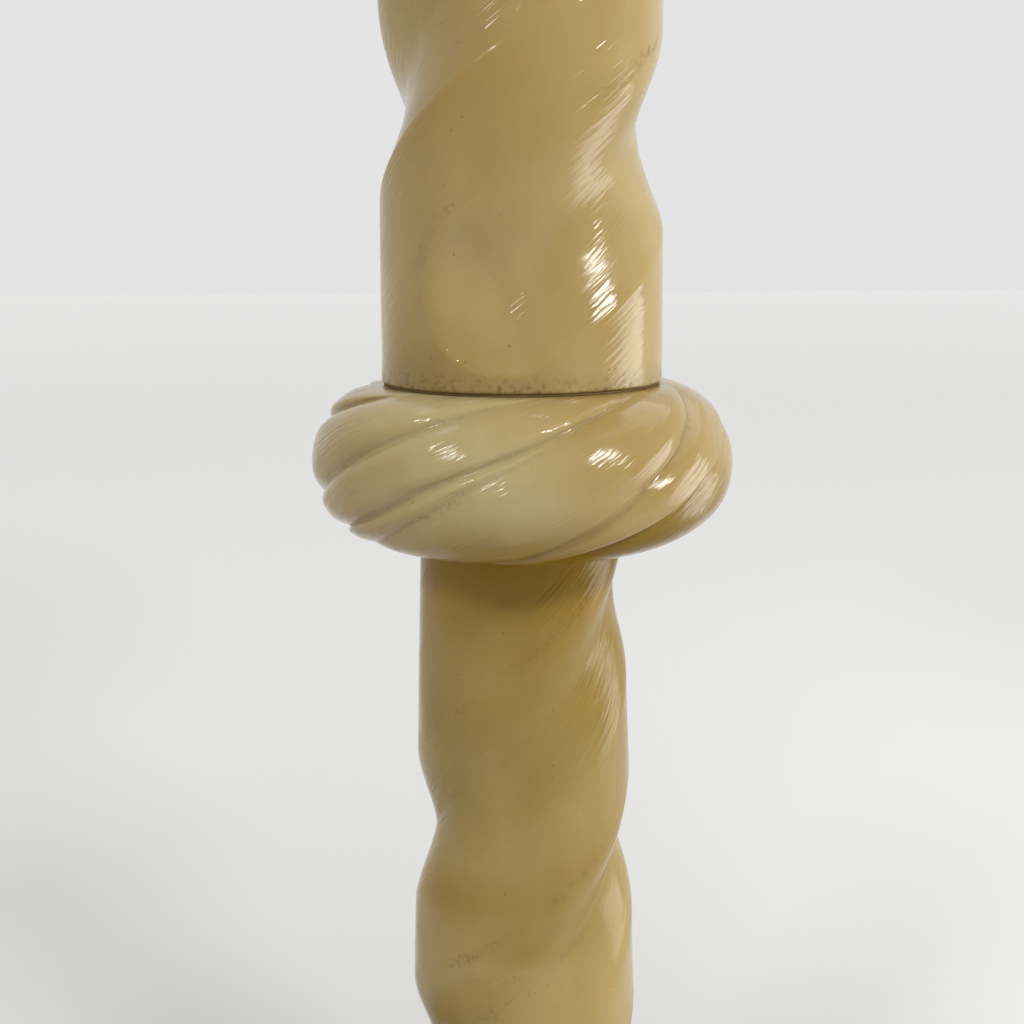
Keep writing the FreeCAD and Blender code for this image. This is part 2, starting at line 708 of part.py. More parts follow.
def make_plug():
    """The drain plug with its seal, its eye and its pull ring."""
    seal = washer("plug_seal", "waste_seat - plug_gap", "4", "seal_thick")
    stand(seal, SEAL)
    disc = turned(
        "plug_disc",
        [
            ("0", "0"),
            ("4", "0"),
            ("4", "seal_thick"),
            ("waste_seat - 2", "seal_thick"),
            ("waste_seat - 2", "seal_thick + plug_thick - 1"),
            ("waste_seat - 5", "seal_thick + plug_thick"),
            ("0", "seal_thick + plug_thick"),
        ],
    )
    rise = "seal_thick + plug_thick"
    ear = doc.addObject("Part::Box", "plug_ear")
    bind(ear, "Length", "eye_thick")
    bind(ear, "Width", "eye_width")
    bind(ear, "Height", "eye_rise + 1")
    bind(ear, ".Placement.Base.x", "0 - eye_thick / 2")
    bind(ear, ".Placement.Base.y", "0 - eye_width / 2")
    bind(ear, ".Placement.Base.z", f"{rise} - 1")
    round_top = doc.addObject("Part::Cylinder", "plug_ear_round")
    hole = doc.addObject("Part::Cylinder", "plug_ear_hole")
    for tool, radius in ((round_top, "eye_width / 2"), (hole, "eye_hole")):
        tool.Placement = Placement(Vector(), Rotation(Vector(0, 1, 0), 90))
        bind(tool, "Radius", radius)
        bind(tool, "Height", "eye_thick")
        bind(tool, ".Placement.Base.x", "0 - eye_thick / 2")
        bind(tool, ".Placement.Base.z", f"{rise} + eye_rise")
    eye = doc.addObject("Part::MultiFuse", "plug_solid")
    eye.Shapes = [disc, ear, round_top]
    plug = cut("drain_plug", eye, hole)
    stand(plug, SEAL)
    ring = doc.addObject("Part::Torus", "pull_ring")
    bind(ring, "Radius1", "pull_radius")
    bind(ring, "Radius2", "pull_wire")
    ring.Placement = Placement(Vector(), Rotation(Vector(1, 0, 0), -size("pull_tilt")))
    bind(ring, ".Placement.Base.y", "pull_radius * cos(pull_tilt)")
    bind(ring, ".Placement.Base.z", f"{EYE} - pull_radius * sin(pull_tilt)")
    return [seal, plug, ring]


def make_cross():
    """A plain cross with a socket in its foot for the cover's stud."""
    body = doc.addObject("PartDesign::Body", "cross_blank")
    sketch = flat_sketch(body, "cross_outline", "XZ_Plane")
    half = "cross_arm / 2"
    low = "cross_level - cross_arm / 2"
    high = "cross_level + cross_arm / 2"
    right = [(half, "0"), (half, low), ("cross_wide / 2", low), ("cross_wide / 2", high)]
    right += [(half, high), (half, "cross_high")]
    left = [(f"0 - {across}", up) for across, up in reversed(right)]
    draw_outline(sketch, right + left)
    pad = body.newObject("PartDesign::Pad", "cross_pad")
    pad.Profile = sketch
    bind(pad, "Length", "cross_thick")
    pad.Midplane = True
    doc.recompute()
    rims = []
    for number, edge in enumerate(pad.Shape.Edges, start=1):
        if abs(edge.Vertexes[0].Y - edge.Vertexes[-1].Y) < 0.01:
            rims.append(f"Edge{number}")
    bevel = body.newObject("PartDesign::Chamfer", "cross_bevel")
    bevel.Base = (pad, rims)
    bevel.Size = 1.2
    socket = cylinder("cross_socket", "stud_radius", "stud_grip")
    cross = cut("cover_cross", body, socket)
    stand(cross, CROSS)
    return cross


def make_cover():
    """The turned cover, its felt, and the boss and cross that a stud holds to it."""
    brim = "bowl_radius - bowl_wall - liner_gap + liner_brim"
    pad = washer("cover_pad", brim, "cover_spigot + 1", "cover_pad_thick")
    stand(pad, COVER_PAD)
    edge = "cover_drop + cover_edge"
    dome = turned(
        "cover_dome",
        [
            ("stud_radius + stud_gap", "hollow_rise"),
            ("hollow_top", "hollow_rise", "cover_spigot * 2.6", -1),
            ("cover_spigot - cover_shell", "0"),
            ("cover_spigot", "0"),
            ("cover_spigot", "cover_drop"),
            ("cover_radius - 4", "cover_drop", "cover_edge * 0.4", 1),
            ("cover_radius - 4", "cover_drop + cover_edge * 0.6"),
            ("cover_radius - cover_step", f"{edge} - 4"),
            ("cover_radius - cover_step", edge, "cover_radius * 1.5", 1),
            ("dome_top", f"{edge} + dome_rise"),
            ("stud_radius + stud_gap", f"{edge} + dome_rise"),
        ],
    )
    stand(dome, f"{COVER} - cover_drop")
    boss = turned(
        "cover_boss",
        [
            ("stud_radius + stud_gap", "0"),
            ("boss_radius", "0"),
            ("boss_radius", "3"),
            ("boss_radius - 4", "6", "boss_high - 6", -1),
            ("boss_neck", "boss_high - 10", "5", 1),
            ("boss_neck", "boss_high - 2"),
            ("boss_neck", "boss_high"),
            ("stud_radius + stud_gap", "boss_high"),
        ],
    )
    stand(boss, BOSS)
    small_washer = washer(
        "cover_washer", "small_washer", "stud_radius + stud_gap", "washer_thick"
    )
    stand(small_washer, COVER_WASHER)
    nut = hex_nut("cover_nut", "small_nut_flats", "small_nut_high", "stud_radius")
    stand(nut, COVER_NUT)
    stud = cylinder("cover_stud", "stud_radius", f"{CROSS} + stud_grip - ({STUD})", STUD)
    return [pad, dome, boss, small_washer, nut, stud, make_cross()]


def broken(thing):
    return any(word in str(state) for state in thing.State for word in ("Invalid", "Error"))


def main():
    pieces = make_base() + make_beds() + make_stem() + [make_bowl()] + make_tie()
    pieces += make_basin() + make_plug() + make_cover()
    doc.recompute()
    for thing in doc.Objects:
        if broken(thing):
            raise RuntimeError(f"{thing.Name} did not compute: {thing.State}")
    for piece in pieces:
        piece.Label = piece.Name
        if piece.Shape.isNull() or not piece.Shape.isValid() or piece.Shape.Volume <= 0:
            raise RuntimeError(f"{piece.Label} has no valid shape")
    os.makedirs("parts", exist_ok=True)
    for piece in pieces:
        piece.Shape.exportStep(f"parts/{piece.Label}.step")
        extent = piece.Shape.BoundBox
        print(f"{piece.Label}: {len(piece.Shape.Solids)} solids, {piece.Shape.Volume:.0f} mm3,"
              f" z {extent.ZMin:.1f} to {extent.ZMax:.1f}, r {extent.XMax:.1f}")


main()
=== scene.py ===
import logging
import math
from abc import ABC, abstractmethod
from dataclasses import dataclass, field
from enum import Enum
from functools import reduce
from typing import Any, Optional, Sequence, Union

import bmesh
import bpy
import numpy as np
from mathutils import Matrix, Vector, noise


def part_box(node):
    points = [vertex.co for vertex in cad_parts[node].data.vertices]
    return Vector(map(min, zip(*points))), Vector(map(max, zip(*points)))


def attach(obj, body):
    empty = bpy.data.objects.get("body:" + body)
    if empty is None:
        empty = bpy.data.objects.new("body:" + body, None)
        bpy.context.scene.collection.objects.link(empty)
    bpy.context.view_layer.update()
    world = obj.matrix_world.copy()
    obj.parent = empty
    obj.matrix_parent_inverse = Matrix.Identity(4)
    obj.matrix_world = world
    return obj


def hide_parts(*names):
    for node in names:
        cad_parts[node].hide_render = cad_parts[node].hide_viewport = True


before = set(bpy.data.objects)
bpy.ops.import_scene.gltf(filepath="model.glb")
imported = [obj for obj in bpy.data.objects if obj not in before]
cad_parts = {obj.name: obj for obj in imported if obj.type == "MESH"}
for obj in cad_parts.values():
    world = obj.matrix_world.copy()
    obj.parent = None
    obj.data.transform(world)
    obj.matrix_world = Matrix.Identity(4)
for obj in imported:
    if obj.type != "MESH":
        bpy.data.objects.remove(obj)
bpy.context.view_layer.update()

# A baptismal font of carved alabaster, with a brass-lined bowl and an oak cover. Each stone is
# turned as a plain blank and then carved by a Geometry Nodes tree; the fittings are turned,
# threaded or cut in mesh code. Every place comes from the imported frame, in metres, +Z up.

MM = 0.001
TINY = 0.001 * MM
TURN = 2 * math.pi
NOISE_SEED = 5
LOG = logging.getLogger("font")
Colour = tuple[float, float, float, float]
Marks = dict[str, np.ndarray]


# Nodes


class Wire:
    """A node socket that takes part in arithmetic."""

    def __init__(self, desk: "NodeDesk", socket: bpy.types.NodeSocket) -> None:
        """Keeps the socket and the desk that its nodes are placed on."""
        self.desk = desk
        self.socket = socket

    def __add__(self, other: "Number") -> "Wire":
        """self + other."""
        return self.desk.math("ADD", self, other)

    def __radd__(self, other: "Number") -> "Wire":
        """other + self."""
        return self.desk.math("ADD", other, self)

    def __sub__(self, other: "Number") -> "Wire":
        """self - other."""
        return self.desk.math("SUBTRACT", self, other)

    def __rsub__(self, other: "Number") -> "Wire":
        """other - self."""
        return self.desk.math("SUBTRACT", other, self)

    def __mul__(self, other: "Number") -> "Wire":
        """self * other."""
        return self.desk.math("MULTIPLY", self, other)

    def __rmul__(self, other: "Number") -> "Wire":
        """other * self."""
        return self.desk.math("MULTIPLY", other, self)

    def __truediv__(self, other: "Number") -> "Wire":
        """self / other."""
        return self.desk.math("DIVIDE", self, other)

    def __rtruediv__(self, other: "Number") -> "Wire":
        """other / self."""
        return self.desk.math("DIVIDE", other, self)

    def __pow__(self, other: "Number") -> "Wire":
        """self to the power of other."""
        return self.desk.math("POWER", self, other)

    def __neg__(self) -> "Wire":
        """-self."""
        return self.desk.math("MULTIPLY", self, -1.0)


Number = Union[Wire, float]
Cut = tuple[Wire, Wire, Number]


class NodeDesk:
    """Places nodes in one tree and links them."""

    def __init__(self, tree: bpy.types.NodeTree) -> None:
        """Takes the tree that the nodes go into."""
        self.tree = tree

    def plug(self, socket: bpy.types.NodeSocket, value: Any) -> None:
        """Links a wire to the socket, or sets the socket's own value."""
        if isinstance(value, Wire):
            self.tree.links.new(value.socket, socket)
        else:
            socket.default_value = value

    def place(
        self,
        kind: str,
        settings: Optional[dict[str, Any]] = None,
        inputs: Optional[dict[Any, Any]] = None,
    ) -> bpy.types.Node:
        """Places one node.

        Args:
            kind: the node's type.
            settings: its attributes; "stops" holds a ramp's (place, colour) pairs.
            inputs: values or wires for its sockets, by name or number.

        Returns:
            The node.
        """
        node = self.tree.nodes.new(kind)
        for key, value in (settings or {}).items():
            if key != "stops":
                setattr(node, key, value)
                continue
            elements = node.color_ramp.elements
            for number, (place, colour) in enumerate(value):
                stop = elements[number] if number < 2 else elements.new(place)
                stop.position = place
                stop.color = colour
        for key, value in (inputs or {}).items():
            self.plug(node.inputs[key], value)
        return node

    def node(
        self,
        kind: str,
        settings: Optional[dict[str, Any]] = None,
        inputs: Optional[dict[Any, Any]] = None,
        output: Union[int, str] = 0,
    ) -> Wire:
        """Places one node, as place does, and returns one of its outputs."""
        return Wire(self, self.place(kind, settings, inputs).outputs[output])

    def math(self, operation: str, *values: Number) -> Wire:
        """One Math node on these values."""
        return self.node("ShaderNodeMath", {"operation": operation}, dict(enumerate(values)))

    def blend(self, share: Number, first: Any, second: Any) -> Wire:
        """The colour that lies that share of the way from first to second."""
        return self.node("ShaderNodeMix", {"data_type": "RGBA"}, {0: share, 6: first, 7: second}, 2)

    def between(self, value: Number, low: Number, high: Number) -> Wire:
        """0 below low, 1 above high, and a smooth step between."""
        settings = {"interpolation_type": "SMOOTHSTEP"}
        inputs = {"Value": value, "From Min": low, "From Max": high}
        return self.node("ShaderNodeMapRange", settings, inputs)

    def noise(
        self, where: Wire, scale: float, detail: float = 2.0, warp: float = 0.0, seed: float = 0.0
    ) -> Wire:
        """Smooth noise from about 0.2 to 0.8.

        Args:
            where: the coordinates it is read at.
            scale: waves to a metre.
            detail: octaves of finer noise on top.
            warp: how far the pattern is folded over itself.
            seed: which pattern.

        Returns:
            The noise value.
        """
        inputs = {"Vector": where, "W": seed, "Scale": scale, "Detail": detail, "Distortion": warp}
        return self.node("ShaderNodeTexNoise", {"noise_dimensions": "4D"}, inputs)

    def stretch(self, where: Wire, x: float, y: float, z: float, lean: float = 0.0) -> Wire:
        """The coordinates scaled along each axis, after a turn of lean radians about Z."""
        inputs = {"Vector": where, "Rotation": (0.0, 0.0, lean), "Scale": (x, y, z)}
        return self.node("ShaderNodeMapping", {}, inputs)

    def most(self, *values: Number) -> Wire:
        """The largest of the values."""
        return reduce(lambda first, second: self.math("MAXIMUM", first, second), values)

    def axes(self, where: Wire) -> list[Wire]:
        """The x, y and z of a vector."""
        split = self.place("ShaderNodeSeparateXYZ", {}, {"Vector": where})
        return [Wire(self, socket) for socket in split.outputs]

    def vector(self, *values: Number) -> Wire:
        """A vector of these values, the rest of it 0."""
        return self.node("ShaderNodeCombineXYZ", {}, dict(enumerate(values)))

    def mark(self, name: str) -> Wire:
        """A number that the mesh carries at each point."""
        return self.node("ShaderNodeAttribute", {"attribute_name": name}, output="Fac")


# Finishes


@dataclass(frozen=True)
class Finish(ABC):
    """One material. constants() sets whole sockets, and dress() links what varies.

    slot names the material slot of the CAD nodes that wear it, and is not used.
    """

    name: str
    slot: str = ""

    def constants(self) -> dict[str, Any]:
        """Shader sockets that are the same all over."""
        return {}

    @abstractmethod
    def dress(self, desk: NodeDesk, where: Wire) -> dict[str, Any]:
        """Shader sockets that vary over the surface, from its object coordinates."""

    def material(self) -> bpy.types.Material:
        """Makes the material, once for each name."""
        made = bpy.data.materials.get(self.name)
        if made:
            return made
        made = bpy.data.materials.new(self.name)
        made.use_nodes = True
        made.node_tree.nodes.clear()
        desk = NodeDesk(made.node_tree)
        where = desk.node("ShaderNodeTexCoord", output="Object")
        inputs = {**self.constants(), **self.dress(desk, where)}
        shader = desk.node("ShaderNodeBsdfPrincipled", {}, inputs)
        desk.place("ShaderNodeOutputMaterial", {}, {"Surface": shader})
        return made


def relief(desk: NodeDesk, height: Wire, depth: float, strength: float = 1.0) -> Wire:
    """A bump of that depth in metres, for a shader's Normal."""
    inputs = {"Strength": strength, "Distance": depth, "Height": height}
    return desk.node("ShaderNodeBump", {}, inputs, "Normal")


@dataclass(frozen=True)
class Alabaster(Finish):
    """Honey alabaster, cloudy and a little translucent, polished over its rasp marks.

    The mesh carries a dirt mark (grime in creases, valleys and at the stones' feet, and painted
    shade along the flutes' upper edges) and an amber mark (painted shade: stone darkened to amber
    under the knop, on its underside and on one lobe).
    """

    slot: str = "alabaster"
    body: Colour = (0.300, 0.205, 0.066, 1.0)
    pale: Colour = (0.40, 0.312, 0.143, 1.0)
    amber_and_shade: Colour = (0.150, 0.078, 0.001, 1.0)
    grime_and_shade: Colour = (0.125, 0.070, 0.013, 1.0)
    stain: float = 0.34
    seed: float = 0.0
    gloss: float = 0.26

    def constants(self) -> dict[str, Any]:
        """Light that goes a little way into the stone."""
        return {
            "Subsurface Weight": 0.30,
            "Subsurface Radius": (1.0, 0.62, 0.22),
            "Subsurface Scale": 0.014,
            "IOR": 1.53,
            "Specular IOR Level": self.gloss,
        }

    def dress(self, desk: NodeDesk, where: Wire) -> dict[str, Any]:
        """Clouds, amber bands, grime and painted shade, pits and rasp marks."""
        cloud = desk.noise(where, 9.0, 2.0, 0.3, self.seed)
        drift = desk.noise(desk.stretch(where, 7.0, 7.0, 16.0), 1.0, 2.0, 0.5, self.seed + 3.0)
        grain = desk.noise(desk.stretch(where, 60.0, 60.0, 22.0), 1.0, 3.0, 0.0, self.seed)
        tone = desk.between(cloud * 0.8 + grain * 0.2, 0.30, 0.78)
        colour = desk.blend(tone, self.body, self.pale)
        stain = desk.between(drift, 0.52, 0.80) * self.stain
        # Painted shade: the amber mark darkens the stone to amber under the knop and on its
        # underside; the drift stain is the stone's own.
        colour = desk.blend(desk.most(stain, desk.mark("amber_and_shade")), colour, self.amber_and_shade)
        speck = desk.between(desk.noise(where, 420.0, 3.0, 0.0, self.seed), 0.50, 0.66)
        smear = desk.between(desk.noise(where, 60.0, 3.0, 0.4, self.seed), 0.36, 0.68)
        # The dirt mark is grime, with painted shade along the flutes' upper edges.
        dirt_and_shade = desk.mark("dirt_and_shade") * (speck * 0.62 + smear * 0.22)
        pit = desk.between(desk.noise(where, 520.0, 0.0, 0.0, self.seed + 9.0), 0.825, 0.85) * 0.7
        dirt_and_shade = desk.most(dirt_and_shade, pit)
        colour = desk.blend(dirt_and_shade, colour, self.grime_and_shade)
        along = desk.node("ShaderNodeTexCoord", output="UV")
        rasp = desk.noise(desk.stretch(along, 45.0, 620.0, 1.0), 1.0, 2.0, 0.3, self.seed)
        wave = desk.noise(desk.stretch(along, 25.0, 80.0, 1.0), 1.0, 1.0, 0.5, self.seed + 5.0)
        worn = desk.between(desk.noise(where, 24.0, 2.0, 0.5, self.seed + 7.0), 0.42, 0.60)
        polish = desk.between(desk.noise(where, 34.0, 3.0, 0.5, self.seed + 1.0), 0.38, 0.62)
        return {
            "Base Color": colour,
            "Roughness": 0.075 + polish * 0.09 + dirt_and_shade * 0.5,
            "Normal": relief(desk, rasp * (0.26 + worn * 0.60) + wave, 0.60 * MM),
        }


@dataclass(frozen=True)
class Putty(Finish):
    """Old brown jointing between two stones."""

    slot: str = "joint_putty"

    def dress(self, desk: NodeDesk, where: Wire) -> dict[str, Any]:
        """Crumbly brown, lighter where it has dried out."""
        crumb = desk.noise(where, 520.0, 4.0)
        colour = desk.blend(crumb, (0.070, 0.038, 0.009, 1.0), (0.21, 0.13, 0.045, 1.0))
        return {
            "Base Color": colour,
            "Roughness": 0.75 + crumb * 0.2,
            "Normal": relief(desk, crumb, 0.3 * MM),
        }


@dataclass(frozen=True)
class Cork(Finish):
    """Pressed cork granules."""

    slot: str = "cork"
    pore: Colour = (0.07, 0.035, 0.015, 1.0)

    def dress(self, desk: NodeDesk, where: Wire) -> dict[str, Any]:
        """Light and dark granules with pores between."""
        cells = {"Vector": where, "Scale": 420.0}
        grain = desk.node("ShaderNodeTexVoronoi", {}, cells, "Distance")
        tone = desk.noise(where, 380.0, 2.0)
        colour = desk.blend(tone, (0.20, 0.10, 0.04, 1.0), (0.50, 0.33, 0.18, 1.0))
        return {
            "Base Color": desk.blend(desk.between(grain, 0.45, 0.8) * 0.6, colour, self.pore),
            "Roughness": 0.85 + tone * 0.1,
            "Normal": relief(desk, 1.0 - grain, 0.4 * MM),
        }


@dataclass(frozen=True)
class Brass(Finish):
    """Brass with turning marks about Z and a little tarnish."""

    slot: str = "plain_brass"
    bright: Colour = (0.80, 0.58, 0.25, 1.0)
    dull: Colour = (0.40, 0.26, 0.11, 1.0)
    polish: float = 0.18
    tarnish: float = 0.35
    rings: float = 1400.0

    def constants(self) -> dict[str, Any]:
        """Metal all over."""
        return {"Metallic": 1.0}

    def dress(self, desk: NodeDesk, where: Wire) -> dict[str, Any]:
        """Fine rings from the lathe or the spinning tool, and patches of tarnish."""
        x, y, z = desk.axes(where)
        radius = (x * x + y * y) ** 0.5
        path = desk.vector(radius * self.rings, z * self.rings)
        ring = desk.noise(path, 1.0, 2.0)
        patch = desk.between(desk.noise(where, 32.0, 4.0, 0.8), 0.45, 0.70)
        spot = desk.between(desk.noise(where, 260.0, 2.0), 0.62, 0.74)
        stain = (patch * 0.8 + spot * 0.5) * self.tarnish
        return {
            "Base Color": desk.blend(stain, self.bright, self.dull),
            "Roughness": self.polish + ring * 0.12 + stain * 0.3,
            "Normal": relief(desk, ring, 0.02 * MM),
        }


@dataclass(frozen=True)
class Oak(Finish):
    """Waxed oak boards, glued edge to edge along X and turned."""

    slot: str = "oak"
    light: Colour = (0.270, 0.140, 0.055, 1.0)
    dark: Colour = (0.095, 0.042, 0.015, 1.0)
    fleck: Colour = (0.36, 0.20, 0.09, 1.0)
    gap: Colour = (0.045, 0.02, 0.008, 1.0)
    board: float = 92 * MM

    def constants(self) -> dict[str, Any]:
        """Wax over open grain."""
        return {"Coat Roughness": 0.28, "IOR": 1.48}

    def dress(self, desk: NodeDesk, where: Wire) -> dict[str, Any]:
        """Growth rings, pores and medullary rays, with each board cut from another place."""
        x, y, z = desk.axes(where)
        plank = desk.math("FLOOR", y / self.board + 0.5)
        across = y / self.board + 0.5 - plank
        seam = desk.between(desk.math("ABSOLUTE", across - 0.5), 0.488, 0.498)
        place = desk.vector(x + plank * 0.37, y + plank * 1.13, z + plank * 0.21)
        bend = desk.noise(desk.stretch(place, 2.0, 30.0, 30.0), 1.0, 2.0, 0.3)
        growth = desk.math("SINE", bend * 52.0 + z * 260.0) * 0.5 + 0.5
        hairs = desk.noise(desk.stretch(place, 45.0, 1300.0, 1300.0), 1.0, 2.0)
        flakes = desk.noise(desk.stretch(place, 160.0, 60.0, 60.0), 1.0, 1.0, 1.5)
        pore = desk.between(hairs, 0.56, 0.72)
        ray = desk.between(flakes, 0.66, 0.78)
        tone = desk.noise(place, 4.0, 1.0)
        colour = desk.blend(growth * 0.42 + tone * 0.45, self.light, self.dark)
        colour = desk.blend(ray * 0.35, colour, self.fleck)
        colour = desk.blend(desk.most(pore * 0.6, seam * 0.8), colour, self.gap)
        return {
            "Base Color": colour,
            "Roughness": 0.34 + pore * 0.3 - ray * 0.08,
            "Coat Weight": 0.35 - pore * 0.3,
            "Normal": relief(desk, growth * 0.25 - pore - seam, 0.18 * MM),
        }


@dataclass(frozen=True)
class Felt(Finish):
    """Dense wine-red felt."""

    slot: str = "felt"

    def constants(self) -> dict[str, Any]:
        """A soft nap that catches light at its edges."""
        return {"Sheen Weight": 0.6, "Sheen Roughness": 0.5}

    def dress(self, desk: NodeDesk, where: Wire) -> dict[str, Any]:
        """Matted fibres."""
        fibre = desk.noise(where, 900.0, 5.0, 1.5)
        colour = desk.blend(fibre, (0.10, 0.012, 0.015, 1.0), (0.24, 0.035, 0.04, 1.0))
        return {
            "Base Color": colour,
            "Roughness": 0.9 + fibre * 0.08,
            "Normal": relief(desk, fibre, 0.35 * MM),
        }


@dataclass(frozen=True)
class Rubber(Finish):
    """Black sealing rubber with a dusty bloom."""

    slot: str = "rubber"

    def dress(self, desk: NodeDesk, where: Wire) -> dict[str, Any]:
        """Bloom in patches and a moulded grain."""
        bloom = desk.noise(where, 90.0, 4.0)
        colour = desk.blend(bloom, (0.012, 0.012, 0.012, 1.0), (0.06, 0.058, 0.055, 1.0))
        return {
            "Base Color": colour,
            "Roughness": 0.55 + bloom * 0.25,
            "Normal": relief(desk, desk.noise(where, 700.0, 2.0), 0.1 * MM),
        }


@dataclass(frozen=True)
class PaleFloor(Finish):
    """A plain, pale studio floor, lighter far off than near the font, where its darker colour is
    painted shade.

    halfway is how far off, in metres, it is halfway from near to far.
    """

    near: Colour = (0.40, 0.40, 0.396, 1.0)
    far: Colour = (0.875, 0.875, 0.875, 1.0)
    halfway: float = 1.4

    def dress(self, desk: NodeDesk, where: Wire) -> dict[str, Any]:
        """Matt, and even."""
        reach = desk.node("ShaderNodeVectorMath", {"operation": "LENGTH"}, {0: where}, "Value")
        colour = desk.blend(reach / (reach + self.halfway), self.near, self.far)
        return {"Base Color": colour, "Roughness": 0.9 + desk.noise(where, 3.0) * 0.05}


class Stone(Enum):
    """Which block of alabaster a stone was cut from."""

    FOOT = Alabaster("alabaster_foot", seed=2.0)
    LOWER = Alabaster(
        "alabaster_lower",
        body=(0.225, 0.153, 0.035, 1.0),
        pale=(0.365, 0.268, 0.105, 1.0),
        amber_and_shade=(0.245, 0.135, 0.001, 1.0),
        stain=0.6,
        seed=7.3,
        gloss=0.14,
    )
    KNOP = Alabaster(
        "alabaster_knop", pale=(0.40, 0.338, 0.18, 1.0), amber_and_shade=(0.175, 0.100, 0.001, 1.0), seed=11.0
    )
    UPPER = Alabaster("alabaster_upper", pale=(0.41, 0.33, 0.162, 1.0), seed=17.0)
    BOWL = Alabaster("alabaster_bowl", seed=23.0)


class Metal(Enum):
    """Kinds of brass."""

    PLAIN = Brass("turned_brass", polish=0.26, tarnish=0.6)
    LINER = Brass("spun_brass", "liner_brass", polish=0.22, tarnish=0.4, rings=700.0)
    POLISHED = Brass("bright_brass", "polished_brass", polish=0.10, tarnish=0.18)


# Meshes


@dataclass(frozen=True)
class Corner:
    """A corner of a turned outline, and the edge that leaves it.

    round is the radius of its rounding, and bulge how far its edge bows to the right of travel.
    """

    radius: float
    height: float
    round: float = 0.0
    bulge: float = 0.0


def bowed(start: np.ndarray, end: np.ndarray, bulge: float, steps: int) -> list[np.ndarray]:
    """Points from start up to, and without, end, along an arc that bows to the right."""
    if not bulge:
        return [start]
    chord = end - start
    length = float(np.hypot(*chord))
    right = np.array([chord[1], -chord[0]]) / length
    radius = (length**2 / 4 + bulge**2) / (2 * abs(bulge))
    side = math.copysign(1.0, bulge)
    centre = (start + end) / 2 - right * side * (radius - abs(bulge))
    first = math.atan2(*(start - centre)[::-1])
    sweep = (math.atan2(*(end - centre)[::-1]) - first + math.pi) % TURN - math.pi
    angles = [first + sweep * step / steps for step in range(steps)]
    return [centre + radius * np.array([math.cos(a), math.sin(a)]) for a in angles]


def outline(corners: Sequence[Corner], step: float = 6 * MM, closed: bool = True) -> np.ndarray:
    """Turns corners into closely spaced (radius, height) rows.

    Args:
        corners: the outline, anticlockwise in the radius-height plane.
        step: the longest straight run between two rows.
        closed: whether the last corner joins the first.

    Returns:
        The rows, without a repeat of the first.
    """
    points: list[np.ndarray] = []
    rounds: list[float] = []
    for corner, after in zip(corners, [*corners[1:], corners[0]]):
        start = np.array([corner.radius, corner.height])
        end = np.array([after.radius, after.height])
        arc = bowed(start, end, corner.bulge, 24)
        points += arc
        rounds += [corner.round] + [0.0] * (len(arc) - 1)
    rows: list[np.ndarray] = []
    for number, point in enumerate(points):
        before = points[number - 1]
        after = points[(number + 1) % len(points)]
        reach_in, reach_out = float(np.hypot(*(before - point))), float(np.hypot(*(after - point)))
        if rounds[number] <= 0 or min(reach_in, reach_out) < TINY:
            rows.append(point)
            continue
        back, ahead = (before - point) / reach_in, (after - point) / reach_out
        pull = min(rounds[number], 0.4 * reach_in, 0.4 * reach_out)
        # A row just outside the rounding keeps the flats beside it flat in smooth shading.
        rows.append(point + back * pull * 1.18)
        for share in (0.0, 0.2, 0.4, 0.6, 0.8, 1.0):
            bend = back * (1 - share) ** 2 + ahead * share**2
            rows.append(point + bend * pull)
        rows.append(point + ahead * pull * 1.18)
    dense: list[np.ndarray] = []
    last = len(rows) if closed else len(rows) - 1
    for number in range(last):
        start, end = rows[number], rows[(number + 1) % len(rows)]
        pieces = max(1, math.ceil(float(np.hypot(*(end - start))) / step))
        dense += [start + (end - start) * part / pieces for part in range(pieces)]
    if not closed:
        dense.append(rows[-1])
    return np.array(dense)


